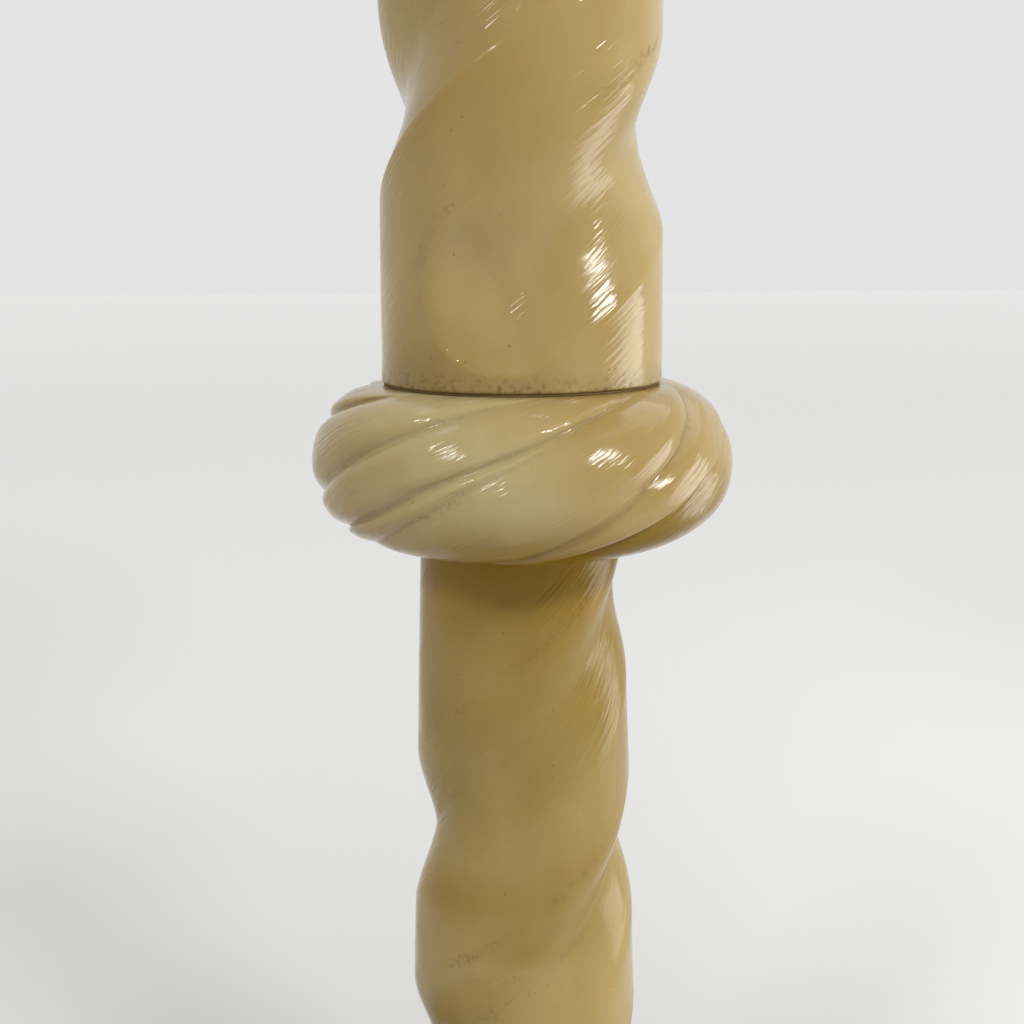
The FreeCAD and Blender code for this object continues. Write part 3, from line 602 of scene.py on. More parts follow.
def turned(
    name: str,
    rows: np.ndarray,
    columns: int = 128,
    climb: float = 0.0,
    marks: Optional[Marks] = None,
) -> bpy.types.Object:
    """Turns rows about Z into a closed mesh.

    Args:
        name: the object's name.
        rows: (radius, height) rows. A ring closes on itself, and rows that start and end on the
            axis close at their poles.
        columns: points round the axis.
        climb: angle of the UV map's first direction above the horizontal.
        marks: numbers for the mesh to carry, one for each row. A "facet" mark of 1 makes its row
            an octagon with that radius as its apothem, and one of 0 leaves it a circle.

    Returns:
        The new object, with its place in its mesh.
    """
    marks = marks or {}
    ring = rows[0][0] > TINY
    angles = TURN * np.arange(columns + 1) / columns
    radius = np.repeat(rows[:, :1], columns, axis=1)
    if "facet" in marks:
        off = (angles[:-1] + math.pi / 8) % (math.pi / 4) - math.pi / 8
        radius = radius * (1 + (1 / np.cos(off) - 1) * marks["facet"][:, None])
    # Azimuth 0 is at the back, so that the seam of the UV map lies there.
    x = -radius * np.sin(angles[:-1])
    y = radius * np.cos(angles[:-1])
    z = np.repeat(rows[:, 1:], columns, axis=1)
    points = np.stack([x, y, z], axis=-1).reshape(-1, 3)
    count = len(rows)
    index = np.arange(count * columns).reshape(count, columns)
    for row in range(count):
        if rows[row][0] <= TINY:
            index[row] = index[row][0]
    travel = np.concatenate([[0.0], np.cumsum(np.hypot(*(np.diff(rows, axis=0)).T))])
    faces, spots = [], []
    for row in range(count if ring else count - 1):
        above = (row + 1) % count
        rise = travel[row] + float(np.hypot(*(rows[above] - rows[row])))
        for column in range(columns):
            beside = (column + 1) % columns
            places = ((row, column), (row, beside), (above, beside), (above, column))
            quad = [int(index[place]) for place in places]
            left, right = angles[column], angles[column + 1]
            corner = [(left, travel[row]), (right, travel[row]), (right, rise), (left, rise)]
            kept = [n for n in range(4) if quad[n] != quad[n - 1]]
            if len(kept) < 3:
                continue
            faces.append([quad[n] for n in kept])
            spots += [corner[n] for n in kept]
    used = np.unique(index)
    order = np.full(count * columns, -1)
    order[used] = np.arange(len(used))
    faces = [[int(order[n]) for n in face] for face in faces]
    mesh = bpy.data.meshes.new(name)
    mesh.from_pydata(points[used].tolist(), [], faces)
    widest = float(rows[:, 0].max())
    uv = np.array(spots) * (widest, 1.0)
    across, up = uv[:, 0].copy(), uv[:, 1].copy()
    uv[:, 0] = across * math.cos(climb) + up * math.sin(climb)
    uv[:, 1] = up * math.cos(climb) - across * math.sin(climb)
    mesh.uv_layers.new(name="UVMap").data.foreach_set("uv", uv.ravel())
    for key, values in marks.items():
        spread = np.repeat(values, columns)[used].astype(np.float32)
        mesh.attributes.new(key, "FLOAT", "POINT").data.foreach_set("value", spread)
    mesh.shade_smooth()
    mesh.update()
    return link(name, mesh)


def link(name: str, data: bpy.types.ID) -> bpy.types.Object:
    """A new object in the scene, with that mesh, lamp or camera."""
    made = bpy.data.objects.new(name, data)
    bpy.context.scene.collection.objects.link(made)
    return made


def band(work: bmesh.types.BMesh, near: Sequence[Any], far: Sequence[Any]) -> None:
    """Joins two closed loops of vertices with four-sided faces."""
    for number in range(len(near)):
        after = (number + 1) % len(near)
        work.faces.new((near[number], near[after], far[after], far[number]))


def soften(work: bmesh.types.BMesh, angle: float, offset: float, segments: int) -> None:
    """Bevels the edges that turn by more than angle degrees."""
    bmesh.ops.recalc_face_normals(work, faces=work.faces)
    rims = [edge for edge in work.edges if edge.calc_face_angle(0.0) > math.radians(angle)]
    bmesh.ops.bevel(
        work, geom=rims, offset=offset, segments=segments, affect="EDGES", clamp_overlap=True
    )


def write_mesh(name: str, work: bmesh.types.BMesh, smooth: bool = True) -> bpy.types.Object:
    """A new object in the scene with the work as its mesh. The work is freed."""
    mesh = bpy.data.meshes.new(name)
    work.to_mesh(mesh)
    work.free()
    if smooth:
        mesh.shade_smooth()
    return link(name, mesh)


def sharpen(piece: bpy.types.Object, angle: float) -> None:
    """Marks edges that turn by more than angle degrees, so that flat faces shade flat."""
    work = bmesh.new()
    work.from_mesh(piece.data)
    for edge in work.edges:
        if len(edge.link_faces) == 2 and edge.calc_face_angle(0.0) > math.radians(angle):
            edge.smooth = False
    work.to_mesh(piece.data)
    work.free()


def wander(piece: bpy.types.Object, size: float, reach: float, seed: float) -> None:
    """Moves each point by smooth noise, so that a hand-made piece isn't perfectly true.

    Args:
        piece: the object.
        size: the noise's wavelength.
        reach: the furthest that a point moves.
        seed: which noise.
    """
    # Without a seed of its own the noise starts from the clock, and each run would differ.
    noise.seed_set(NOISE_SEED)
    count = len(piece.data.vertices)
    places = np.empty(count * 3)
    piece.data.vertices.foreach_get("co", places)
    places = places.reshape(-1, 3)
    for number in range(count):
        at = Vector(places[number]) / size + Vector((seed, seed, seed))
        places[number] += np.array(noise.noise_vector(at)) * reach
    piece.data.vertices.foreach_set("co", places.ravel())
    piece.data.update()


def finish_piece(
    piece: bpy.types.Object, body: str, finish: Finish, *nodes: str
) -> bpy.types.Object:
    """Gives a piece its material and body, and hides the CAD nodes that it stands for."""
    if not piece.data.materials:
        piece.data.materials.append(finish.material())
    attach(piece, body)
    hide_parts(*nodes)
    LOG.info("%s: %d faces, on %s", piece.name, len(piece.data.polygons), body)
    return piece


# Carving with Geometry Nodes


class Tree:
    """A Geometry Nodes tree with named sizes, which leaves a plain mesh."""

    def __init__(self, name: str) -> None:
        """Makes an empty tree with its geometry sockets."""
        self.tree = bpy.data.node_groups.new(name, "GeometryNodeTree")
        self.desk = NodeDesk(self.tree)
        self.values: dict[str, Any] = {}
        for side in ("INPUT", "OUTPUT"):
            self.tree.interface.new_socket(
                "Geometry", in_out=side, socket_type="NodeSocketGeometry"
            )
        self.entry = self.tree.nodes.new("NodeGroupInput")
        self.shape = Wire(self.desk, self.entry.outputs["Geometry"])

    def size(self, name: str, value: Any, kind: str = "Float") -> Wire:
        """A named input of the tree, and the value that it has on this piece."""
        self.tree.interface.new_socket(name, in_out="INPUT", socket_type=f"NodeSocket{kind}")
        self.values[name] = value
        return Wire(self.desk, self.entry.outputs[name])

    def bake(self, piece: bpy.types.Object, shape: Wire, finish: Finish) -> bpy.types.Object:
        """Ends the tree in Realize Instances and Set Material, runs it and removes it.

        Args:
            piece: the object that the tree runs on.
            shape: the geometry that the tree has made.
            finish: the material that it sets.

        Returns:
            The piece, with the result as its mesh.
        """
        desk = self.desk
        coat = self.size("Finish", finish.material(), "Material")
        real = desk.node("GeometryNodeRealizeInstances", {}, {"Geometry": shape})
        inputs = {"Geometry": real, "Material": coat}
        dressed = desk.node("GeometryNodeSetMaterial", {}, inputs)
        desk.place("NodeGroupOutput", {}, {"Geometry": dressed})
        modifier = piece.modifiers.new("tree", "NODES")
        modifier.node_group = self.tree
        for socket in self.tree.interface.items_tree:
            if socket.in_out == "INPUT" and socket.name in self.values:
                modifier[socket.identifier] = self.values[socket.name]
        graph = bpy.context.evaluated_depsgraph_get()
        graph.update()
        mesh = bpy.data.meshes.new_from_object(
            piece.evaluated_get(graph), preserve_all_data_layers=True, depsgraph=graph
        )
        piece.modifiers.remove(modifier)
        mesh.name = piece.name
        piece.data = mesh
        return piece


class Carving(Tree, ABC):
    """A tree that carves a turned blank about Z."""

    def attribute(self, name: str) -> Wire:
        """A number that the blank carries at each point."""
        kind = "GeometryNodeInputNamedAttribute"
        return self.desk.node(kind, {"data_type": "FLOAT"}, {"Name": name}, "Attribute")

    @abstractmethod
    def cut(self, azimuth: Wire, radius: Wire, height: Wire, where: Wire) -> Cut:
        """How far the stone is cut back towards the axis, its dirt and painted shade, and its
        painted amber shade.
        """

    def apply(self, blank: bpy.types.Object, finish: Finish) -> bpy.types.Object:
        """Carves the blank and leaves a plain mesh on it.

        Args:
            blank: a turned ring that carries its carve, dirt (grime and painted shade) and amber
                (painted shade) marks.
            finish: the material that the tree sets.

        Returns:
            The blank, carved.
        """
        desk = self.desk
        where = desk.node("GeometryNodeInputPosition")
        x, y, z = desk.axes(where)
        radius = (x * x + y * y) ** 0.5
        azimuth = desk.math("ARCTAN2", x, -y)
        depth, grime_and_shade, stain = self.cut(azimuth, radius, z, where)
        hand = desk.noise(where, self.size("Waver Scale", 16.0), 1.0) - 0.5
        weight = self.attribute("carve")
        depth = (depth + hand * self.size("Waver", 1.6 * MM)) * weight
        shrink = (radius - depth) / radius
        moved = desk.vector(x * shrink, y * shrink, z)
        # dirt carries grime and painted shade, and amber painted shade, to the material.
        dirt_and_shade = desk.most(grime_and_shade * weight, self.attribute("dirt_and_shade"))
        amber_and_shade = desk.most(stain * weight, self.attribute("amber_and_shade"))
        stored = self.shape
        for name, value in (("dirt_and_shade", dirt_and_shade), ("amber_and_shade", amber_and_shade)):
            settings = {"data_type": "FLOAT", "domain": "POINT"}
            inputs = {"Geometry": stored, "Name": name, "Value": value}
            stored = desk.node("GeometryNodeStoreNamedAttribute", settings, inputs)
        placed = desk.node("GeometryNodeSetPosition", {}, {"Geometry": stored, "Position": moved})
        return self.bake(blank, placed, finish)


@dataclass(frozen=True)
class Flute:
    """One winding flute: its azimuth at the shaft's foot in degrees, and its two ends."""

    azimuth: float
    low: float
    high: float


@dataclass
class FluteSizes:
    """Sizes of a shaft's winding flutes."""

    flutes: Sequence[Flute]
    foot: float
    radius: float
    half_width: float
    pitch: float = 245 * MM
    depth: float = 0.19
    valley: float = 0.0  # 0 for a round valley, 1 for a V
    lip: float = 0.5  # crispness of the flute's lower edge


class ShaftCarving(Carving):
    """Cuts round-nosed flutes that wind up a shaft."""

    def __init__(self, name: str, sizes: FluteSizes) -> None:
        """Takes the flutes' sizes."""
        super().__init__(name)
        self.sizes = sizes

    def cut(self, azimuth: Wire, radius: Wire, height: Wire, where: Wire) -> Cut:
        """The deepest flute at each point, painted shade and grime along its upper edge, and grime
        in its valley.
        """
        desk, sizes = self.desk, self.sizes
        pitch = self.size("Pitch", sizes.pitch)
        girth = self.size("Radius", sizes.radius) * TURN
        width = self.size("Half Width", sizes.half_width)
        depth = self.size("Depth", sizes.depth)
        sharp = self.size("Valley", sizes.valley)
        lip = self.size("Lip", sizes.lip)
        foot = self.size("Foot", sizes.foot)
        slant = (pitch * pitch + girth * girth) ** 0.5
        cuts, lines = [], []
        for number, flute in enumerate(sizes.flutes, start=1):
            start = self.size(f"Azimuth {number}", flute.azimuth / 360.0)
            low = self.size(f"Low {number}", flute.low)
            high = self.size(f"High {number}", flute.high)
            level = height - foot
            aside = desk.math("WRAP", azimuth / TURN - start - level / pitch, 0.5, -0.5)
            beside = aside * girth * pitch / slant
            above = level - low
            along = (above / pitch + aside) * girth * girth / slant + above * pitch / slant
            run = (high - low) * slant / pitch
            past = desk.math("MINIMUM", along, 0.0) + desk.most(along - run, 0.0)
            reach = (past * past + beside * beside) ** 0.5 / width
            inside = desk.math("MINIMUM", reach, 1.0)
            soft = desk.math("COSINE", inside * math.pi) * 0.5 + 0.5
            crisp = 1.0 - inside * inside
            keen = (1.0 - inside) ** 1.15
            lower = desk.between(beside / width, -0.15, 0.35) * lip
            section = soft + (crisp - soft) * lower
            cuts.append(section + (keen - section) * sharp)
            # Painted shade with grime: a dark line along each flute's upper edge, under the land
            # above.
            edge = desk.math("ABSOLUTE", reach - 1.06)
            upper = desk.between(-beside / width, 0.0, 0.6)
            shade_and_grime_streak = (1.0 - desk.between(edge, 0.0, 0.13)) * upper * 0.75
            valley = (1.0 - desk.between(reach, 0.0, 0.20)) * sharp
            lines.append(desk.most(shade_and_grime_streak, valley))
        patchy = desk.between(desk.noise(where, 26.0, 2.0), 0.42, 0.62)
        return desk.most(*cuts) * depth * radius, desk.most(*lines) * patchy, 0.0


@dataclass(frozen=True)
class Crease:
    """A crease between two lobes, at its azimuth in degrees where the section is level.

    depth and the widths of its two flanks say how it is cut, and lean is in degrees of azimuth
    for each degree round the section. stain is how far the lobe on its right is darkened to amber
    over its lower half, painted shade.
    """

    azimuth: float
    depth: float = 4.0 * MM
    left: float = 15.0
    right: float = 15.0
    lean: float = 0.72
    stain: float = 0.0


class LobeCarving(Carving):
    """Cuts leaning creases, so that rounded lobes stand between them."""

    def __init__(self, name: str, creases: Sequence[Crease]) -> None:
        """Takes the creases."""
        super().__init__(name)
        self.creases = creases

    def cut(self, azimuth: Wire, radius: Wire, height: Wire, where: Wire) -> Cut:
        """The deepest crease at each point, grime in its bottom, and painted amber shade on a
        lobe's lower half.
        """
        desk = self.desk
        section = self.attribute("section")
        stray = (desk.noise(where, 14.0, 1.0, 0.0, 4.0) - 0.5) * 5.0
        degrees = azimuth * (360.0 / TURN) + stray
        cuts, lines = [], []
        stain: Number = 0.0
        for number, crease in enumerate(self.creases, start=1):
            place = self.size(f"Azimuth {number}", crease.azimuth)
            depth = self.size(f"Depth {number}", crease.depth)
            apart = desk.math("WRAP", degrees - section * crease.lean - place, 180.0, -180.0)
            left = desk.most(apart / -crease.left, 0.0)
            right = desk.most(apart / crease.right, 0.0)
            near = 1.0 - desk.math("MINIMUM", left + right, 1.0)
            cuts.append(near * near * depth)
            lines.append(desk.between(near, 0.72, 0.97))
            if crease.stain:
                # Painted shade: the lower half of the lobe right of this crease is darkened to
                # amber.
                lobe = desk.between(apart, -0.5, 1.5) - desk.between(apart, 22.0, 38.0)
                stain = lobe * (1.0 - desk.between(section, -34.0, 16.0)) * crease.stain
        patchy = desk.between(desk.noise(where, 30.0, 2.0), 0.36, 0.66)
        return desk.most(*cuts), desk.most(*lines) * patchy * 0.5, stain


def even_creases(count: int, depth: float, flank: float, lean: float, seed: int) -> list[Crease]:
    """Creases at nearly even spacing, each a little out of true."""
    draw = np.random.default_rng(seed)
    made = []
    for number in range(count):
        azimuth = 360.0 * number / count + draw.uniform(-0.09, 0.09) * 360.0 / count
        made.append(Crease(azimuth, depth * draw.uniform(0.88, 1.1), flank, flank, lean))
    return made


class Scatter(Tree):
    """A tree that sets copies of its input on a ring of points round Z."""

    def ring(
        self, piece: bpy.types.Object, count: int, radius: float, first: float, finish: Finish
    ) -> bpy.types.Object:
        """Copies the piece to count places.

        Args:
            piece: the object that is copied, modelled about Z.
            count: how many copies.
            radius: the radius of their circle.
            first: the first copy's angle in degrees.
            finish: the material that the tree sets.

        Returns:
            The piece, with all copies in its mesh.
        """
        desk = self.desk
        copies = self.size("Count", count, "Int")
        inputs = {"Vertices": copies, "Radius": self.size("Circle", radius)}
        circle = desk.node("GeometryNodeMeshCircle", {}, inputs)
        spin = {"Geometry": circle, "Rotation": (0.0, 0.0, math.radians(first))}
        circle = desk.node("GeometryNodeTransform", {}, spin)
        inputs = {"Points": circle, "Instance": self.shape}
        placed = desk.node("GeometryNodeInstanceOnPoints", {}, inputs)
        return self.bake(piece, placed, finish)


# Sub-assemblies

PUTTY = Putty("brown_putty")
CORK = Cork("pressed_cork")
OAK = Oak("waxed_oak")
FELT = Felt("wine_felt")
RUBBER = Rubber("black_rubber")


@dataclass
class StoneWork:
    """What the carved and turned stones share."""

    bore: float = 14.95 * MM
    arris: float = 1.5 * MM
    squeeze: float = 1.1 * MM

    def side_marks(self, rows: np.ndarray, low: float, high: float, bare: float) -> Marks:
        """Marks for a blank: carved on its side, grimy at its foot.

        Args:
            rows: the blank's rows.
            low: its lowest height.
            high: its highest height.
            bare: how far from each end the carving fades out.

        Returns:
            The carve, dirt (grime, with painted shade added by carving) and amber (painted shade,
            left at 0) marks for each row.
        """
        outside = rows[:, 0] > self.bore * 1.5
        inward = np.minimum(rows[:, 1] - low, high - rows[:, 1])
        carve = np.clip(inward / bare, 0, 1) * outside
        dirt_and_shade = np.clip(1 - (rows[:, 1] - low) / (8 * MM), 0, 1) ** 0.6 * outside
        return {"carve": carve, "dirt_and_shade": dirt_and_shade, "amber_and_shade": np.zeros(len(rows))}

    def carve(self, tree: Carving, blank: bpy.types.Object, stone: Stone, node: str) -> None:
        """Carves a blank, in place of one CAD node of the font's body."""
        finish_piece(tree.apply(blank, stone.value), "font", stone.value, node)

    def bed(self, node: str) -> bpy.types.Object:
        """The jointing between two stones, with an uneven edge."""
        low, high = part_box(node)
        middle = (low.z + high.z) / 2
        edge = high.x + self.squeeze
        corners = [
            Corner(self.bore, low.z),
            Corner(edge, low.z, 0.2 * MM),
            Corner(edge + 0.2 * MM, middle),
            Corner(edge, high.z, 0.2 * MM),
            Corner(self.bore, high.z),
        ]
        piece = turned(f"{node}_putty", outline(corners), 160)
        wander(piece, 9 * MM, 0.25 * MM, high.z)
        return finish_piece(piece, "font", PUTTY, node)


@dataclass
class Base(StoneWork):
    """Pads, plinth, carved ring and collar."""

    pad_radius: float = 14 * MM
    pad_circle: float = 142 * MM
    recess: float = 56 * MM
    recess_depth: float = 38 * MM
    chamfer: float = 9 * MM
    ring_flat: float = 104 * MM
    collar_neck: float = 68 * MM
    collar_head: float = 4 * MM
    collar_foot: float = 6 * MM
    collar_step: float = 3 * MM
    collar_hollow: float = 5.5 * MM

    def build(self) -> None:
        """Builds every piece up to the lower shaft."""
        self.pads()
        self.plinth()
        self.bed("plinth_bed")
        self.ring()
        self.bed("base_bed")
        self.collar()
        self.bed("shaft_bed")

    def pads(self) -> None:
        """Cork pads under the plinth's corners."""
        low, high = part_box("foot_pads")
        corners = [
            Corner(0.0, low.z),
            Corner(self.pad_radius, low.z, 0.5 * MM),
            Corner(self.pad_radius, high.z, 0.3 * MM),
            Corner(0.0, high.z),
        ]
        piece = turned("foot_pads_cork", outline(corners, closed=False), 40)
        piece = Scatter("pad_ring").ring(piece, 8, self.pad_circle, 22.5, CORK)
        finish_piece(piece, "font", CORK, "foot_pads")

    def plinth(self) -> None:
        """The octagonal slab, softened at its edges and slightly out of true."""
        low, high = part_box("plinth")
        flat = high.x
        corners = [
            Corner(self.bore, low.z + self.recess_depth),
            Corner(self.recess, low.z + self.recess_depth),
            Corner(self.recess, low.z, 1.5 * MM),
            Corner(flat, low.z, 2.0 * MM),
            Corner(flat, high.z - self.chamfer, 1.6 * MM),
            Corner(flat - self.chamfer, high.z, 1.6 * MM),
            Corner(self.bore, high.z),
        ]
        rows = outline(corners, 4 * MM)
        marks = self.side_marks(rows, low.z, high.z, 1.0)
        marks["facet"] = np.clip((rows[:, 0] - self.recess * 1.2) / (flat * 0.4), 0, 1)
        piece = turned("plinth_slab", rows, 320, marks=marks)
        wander(piece, 46 * MM, 0.5 * MM, 3.0)
        finish_piece(piece, "font", Stone.FOOT.value, "plinth")

    def ring(self) -> None:
        """The carved cushion ring on the plinth."""
        sizes = Cushion(self.ring_flat, self.ring_flat, 480, 96)
        blank = sizes.blank("base_torus_carved", "base_torus", self.bore)
        creases = even_creases(12, 5.0 * MM, 15.0, 0.55, 5)
        self.carve(LobeCarving("base_ring_lobes", creases), blank, Stone.FOOT, "base_torus")

    def collar(self) -> None:
        """The hollow-moulded collar under the shaft."""
        low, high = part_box("base_collar")
        foot, step = high.x, low.z + self.collar_foot
        corners = [
            Corner(self.bore, low.z),
            Corner(foot, low.z, 1.4 * MM),
            Corner(foot, step, 1.4 * MM),
            Corner(foot - self.collar_step, step, 0.0, -self.collar_hollow),
            Corner(self.collar_neck, high.z - self.collar_head, 0.4 * MM),
            Corner(self.collar_neck, high.z, 1.2 * MM),
            Corner(self.bore, high.z),
        ]
        rows = outline(corners, 2.5 * MM)
        marks = self.side_marks(rows, low.z, high.z, 1.0)
        nook = np.exp(-(((rows[:, 1] - low.z - 7 * MM) / (3 * MM)) ** 2))
        marks["dirt_and_shade"] = np.maximum(marks["dirt_and_shade"], nook * (rows[:, 0] > self.collar_neck))
        piece = turned("base_collar_turned", rows, 220, marks=marks)
        finish_piece(piece, "font", Stone.FOOT.value, "base_collar")


@dataclass(frozen=True)
class Cushion:
    """Sizes of a cushion ring: the radii of its flat top and sole, and its mesh.

    amber is how far painted shade darkens its underside to amber, and a fullness under 1 fills its
    lower half out. spare is the stone outside the CAD's outline that the creases leave room for.
    """

    flat: float
    sole: float
    columns: int
    steps: int
    amber_and_shade: float = 0.0
    fullness: float = 1.0
    spare: float = 1.0 * MM
    flat_rows: int = 15

    def blank(self, name: str, node: str, bore: float) -> bpy.types.Object:
        """A plain ring in the box of a CAD node, that carries its section angle.

        Args:
            name: the blank's name.
            node: the CAD node that gives its height and outer radius.
            bore: the radius of its bore.

        Returns:
            The blank.
        """
        low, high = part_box(node)
        half, middle = (high.z - low.z) / 2, (high.z + low.z) / 2
        reach, flat = high.x + self.spare, self.flat_rows
        angles = np.linspace(-90.0, 90.0, self.steps)
        swell = np.cos(np.radians(angles))
        inner = np.where(angles < 0, self.sole, self.flat)
        full = np.where(angles < 0, self.fullness, 1.0)
        rise = np.sign(angles) * np.abs(np.sin(np.radians(angles))) ** full
        outside = np.stack([inner + (reach - inner) * swell**full, middle + half * rise], 1)
        foot = np.stack([np.linspace(bore, self.sole, flat + 1)[:-1], np.full(flat, low.z)], 1)
        head = np.stack([np.linspace(self.flat, bore, flat + 1)[1:], np.full(flat, high.z)], 1)
        rows = np.concatenate([foot, outside, head])
        section = np.pad(angles, flat, constant_values=(-90.0, 90.0))
        marks = {
            "section": section,
            "carve": np.pad(np.clip(swell * 2.2, 0, 1), flat),
            "dirt_and_shade": np.zeros(len(rows)),
            # Painted shade: the underside is darkened to amber.
            "amber_and_shade": self.amber_and_shade * np.clip((-section - 5.0) / 60.0, 0, 1),
        }
        return turned(name, rows, self.columns, math.radians(30.0), marks)


@dataclass
class Stem(StoneWork):
    """The two winding shafts, the knop between them and the neck ring."""

    lower_head: float = 45.7 * MM
    lower_foot: float = 59.8 * MM
    upper_foot: float = 61.0 * MM
    upper_head: float = 55.7 * MM
    knop_flat: float = 60.8 * MM
    knop_sole: float = 54.0 * MM
    neck_flat: float = 57.0 * MM
    pitch: float = 245 * MM
    knop_creases: Sequence[Crease] = (
        Crease(-119, 5.0 * MM, 12, 18, 0.93),
        Crease(-62, 5.0 * MM, 16, 13, 0.80),
        Crease(-27, 4.0 * MM, 12, 8, 0.88),
        Crease(-16.5, 2.6 * MM, 9, 17, 0.67),
        Crease(29.7, 3.8 * MM, 15, 9, 0.58),
        Crease(51.4, 4.0 * MM, 3.5, 26, 0.81, 1.0),
        Crease(98, 4.4 * MM, 18, 14),
        Crease(122, 4.2 * MM, 12, 15),
        Crease(150, 4.6 * MM, 15, 12),
        Crease(176, 4.4 * MM, 14, 14),
        Crease(207, 4.6 * MM, 15, 14, 0.8),
    )

    def build(self) -> None:
        """Builds every piece from the base to the bowl."""
        self.lower()
        self.bed("knop_bed_lower")
        self.knop()
        self.bed("knop_bed_upper")
        self.upper()
        self.bed("neck_bed")
        self.neck()
        self.bed("bowl_bed")

    def shaft_blank(self, node: str, foot: float, head: float, columns: int) -> bpy.types.Object:
        """A plain tapering shaft with its bore, in the place of a CAD node."""
        low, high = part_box(node)
        corners = [
            Corner(self.bore, low.z),
            Corner(foot, low.z, self.arris),
            Corner(head, high.z, self.arris),
            Corner(self.bore, high.z),
        ]
        rows = outline(corners, 1.5 * MM)
        marks = self.side_marks(rows, low.z, high.z, 4 * MM)
        fall = (high.z - rows[:, 1]) / (30 * MM)
        # Painted shade: the top of the lower shaft, under the knop, is darkened to amber.
        if node == "lower_shaft":
            marks["amber_and_shade"] = np.exp(-(fall**2)) * 0.9 * (rows[:, 0] > self.bore * 1.5)
        climb = math.atan2(self.pitch, TURN * (foot + head) / 2)
        return turned(f"{node}_carved", rows, columns, climb, marks)

    def lower(self) -> None:
        """The lower shaft: one flute runs out close under the knop, the other further down."""
        low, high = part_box("lower_shaft")
        long = high.z - low.z
        flutes = [
            Flute(-21.7, 45 * MM, long - 30 * MM),
            Flute(158.3, 45 * MM, long - 73 * MM),
        ]
        sizes = FluteSizes(flutes, low.z, 50 * MM, 30 * MM, self.pitch, valley=0.4, lip=0.3)
        blank = self.shaft_blank("lower_shaft", self.lower_foot, self.lower_head, 288)
        self.carve(ShaftCarving("lower_flutes", sizes), blank, Stone.LOWER, "lower_shaft")

    def upper(self) -> None:
        """The upper shaft, with a plain collar at its foot."""
        low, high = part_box("upper_shaft")
        long = high.z - low.z
        flutes = [Flute(turn, 40.5 * MM, long - 40 * MM) for turn in (-68.2, 109.3)]
        sizes = FluteSizes(flutes, low.z, 58.5 * MM, 33 * MM, self.pitch, lip=0.8)
        blank = self.shaft_blank("upper_shaft", self.upper_foot, self.upper_head, 320)
        self.carve(ShaftCarving("upper_flutes", sizes), blank, Stone.UPPER, "upper_shaft")

    def knop(self) -> None:
        """The cushion ring, with uneven strands winding over it."""
        sizes = Cushion(self.knop_flat, self.knop_sole, 640, 120, 0.6, 0.86)
        blank = sizes.blank("knop_carved", "knop", self.bore)
        self.carve(LobeCarving("knop_lobes", self.knop_creases), blank, Stone.KNOP, "knop")

    def neck(self) -> None:
        """The plain ring under the bowl."""
        low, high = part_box("neck_ring")
        bulge = high.x - self.neck_flat
        corners = [
            Corner(self.bore, low.z),
            Corner(self.neck_flat, low.z, 0.0, bulge),
            Corner(self.neck_flat, high.z),
            Corner(self.bore, high.z),
        ]
        rows = outline(corners, 3 * MM)
        marks = self.side_marks(rows, low.z, high.z, 1.0)
        piece = turned("neck_ring_turned", rows, 200, marks=marks)
        finish_piece(piece, "font", Stone.UPPER.value, "neck_ring")


@dataclass
class Bowl(StoneWork):
    """The gadrooned bowl."""

    foot: float = 74 * MM
    wall: float = 22 * MM
    depth: float = 150 * MM
    lip: float = 26 * MM
    nut_room: float = 28 * MM
    nut_sink: float = 16 * MM
    lobes: int = 20
    edge: float = 5 * MM
    spare: float = 0.3 * MM

    def build(self) -> None:
        """Builds the bowl."""
        low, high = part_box("bowl")
        rim = high.x + self.spare
        tall = high.z - low.z
        sweep = np.linspace(0.0, math.pi / 2, 84)
        radii = self.foot + (rim - self.foot) * np.sin(sweep)
        outside = np.stack([radii, high.z - tall * np.cos(sweep)], 1)
        outside = outside[outside[:, 1] < high.z - self.edge]
        rows = np.concatenate([outside, self.inside(outside[-1], rim, low.z, high.z)])
        share = np.linspace(0.0, 1.0, len(outside))
        rest = (0, len(rows) - len(outside))
        below_lip = np.clip((high.z - self.lip - outside[:, 1]) / (12 * MM), 0, 1)
        marks = {
            "section": np.pad(share * 90.0, rest),
            "carve": np.pad(below_lip * np.clip(share * 6, 0, 1), rest),
            "dirt_and_shade": np.pad(np.clip(0.12 - share, 0, 1) * 5, rest),
            "amber_and_shade": np.zeros(len(rows)),
        }
        blank = turned("bowl_carved", rows, 560, math.radians(55.0), marks)
        creases = even_creases(self.lobes, 8.0 * MM, 9.0, -0.38, 9)
        self.carve(LobeCarving("bowl_gadroons", creases), blank, Stone.BOWL, "bowl")

    def inside(self, last: np.ndarray, rim: float, low: float, high: float) -> np.ndarray:
        """The rows over the rim, down the hollow and through the bore.

        Args:
            last: the last row of the outside.
            rim: the rim's outer radius.
            low: the bowl's lowest height.
            high: its highest height.

        Returns:
            The rows after the last one of the outside.
        """
        inner, floor = rim - self.wall, high - self.depth
        over = [
            Corner(float(last[0]), float(last[1])),
            Corner(rim, high, 4.0 * MM),
            Corner(inner, high, 1.5 * MM),
            Corner(inner, high - 3 * MM),
        ]
        turn = np.linspace(0.02, math.pi / 2, 40)
        radii = inner - self.depth + self.depth * np.cos(turn)
        hollow = np.stack([radii, high - self.depth * np.sin(turn)], 1)
        through = [
            Corner(self.nut_room, floor, 1.0 * MM),
            Corner(self.nut_room, floor - self.nut_sink),
            Corner(self.bore, floor - self.nut_sink),
            Corner(self.bore, low),
            Corner(self.foot, low),
        ]
        edge = outline(over, 2 * MM, closed=False)[1:]
        return np.concatenate([edge, hollow, outline(through, closed=False)[:-1]])


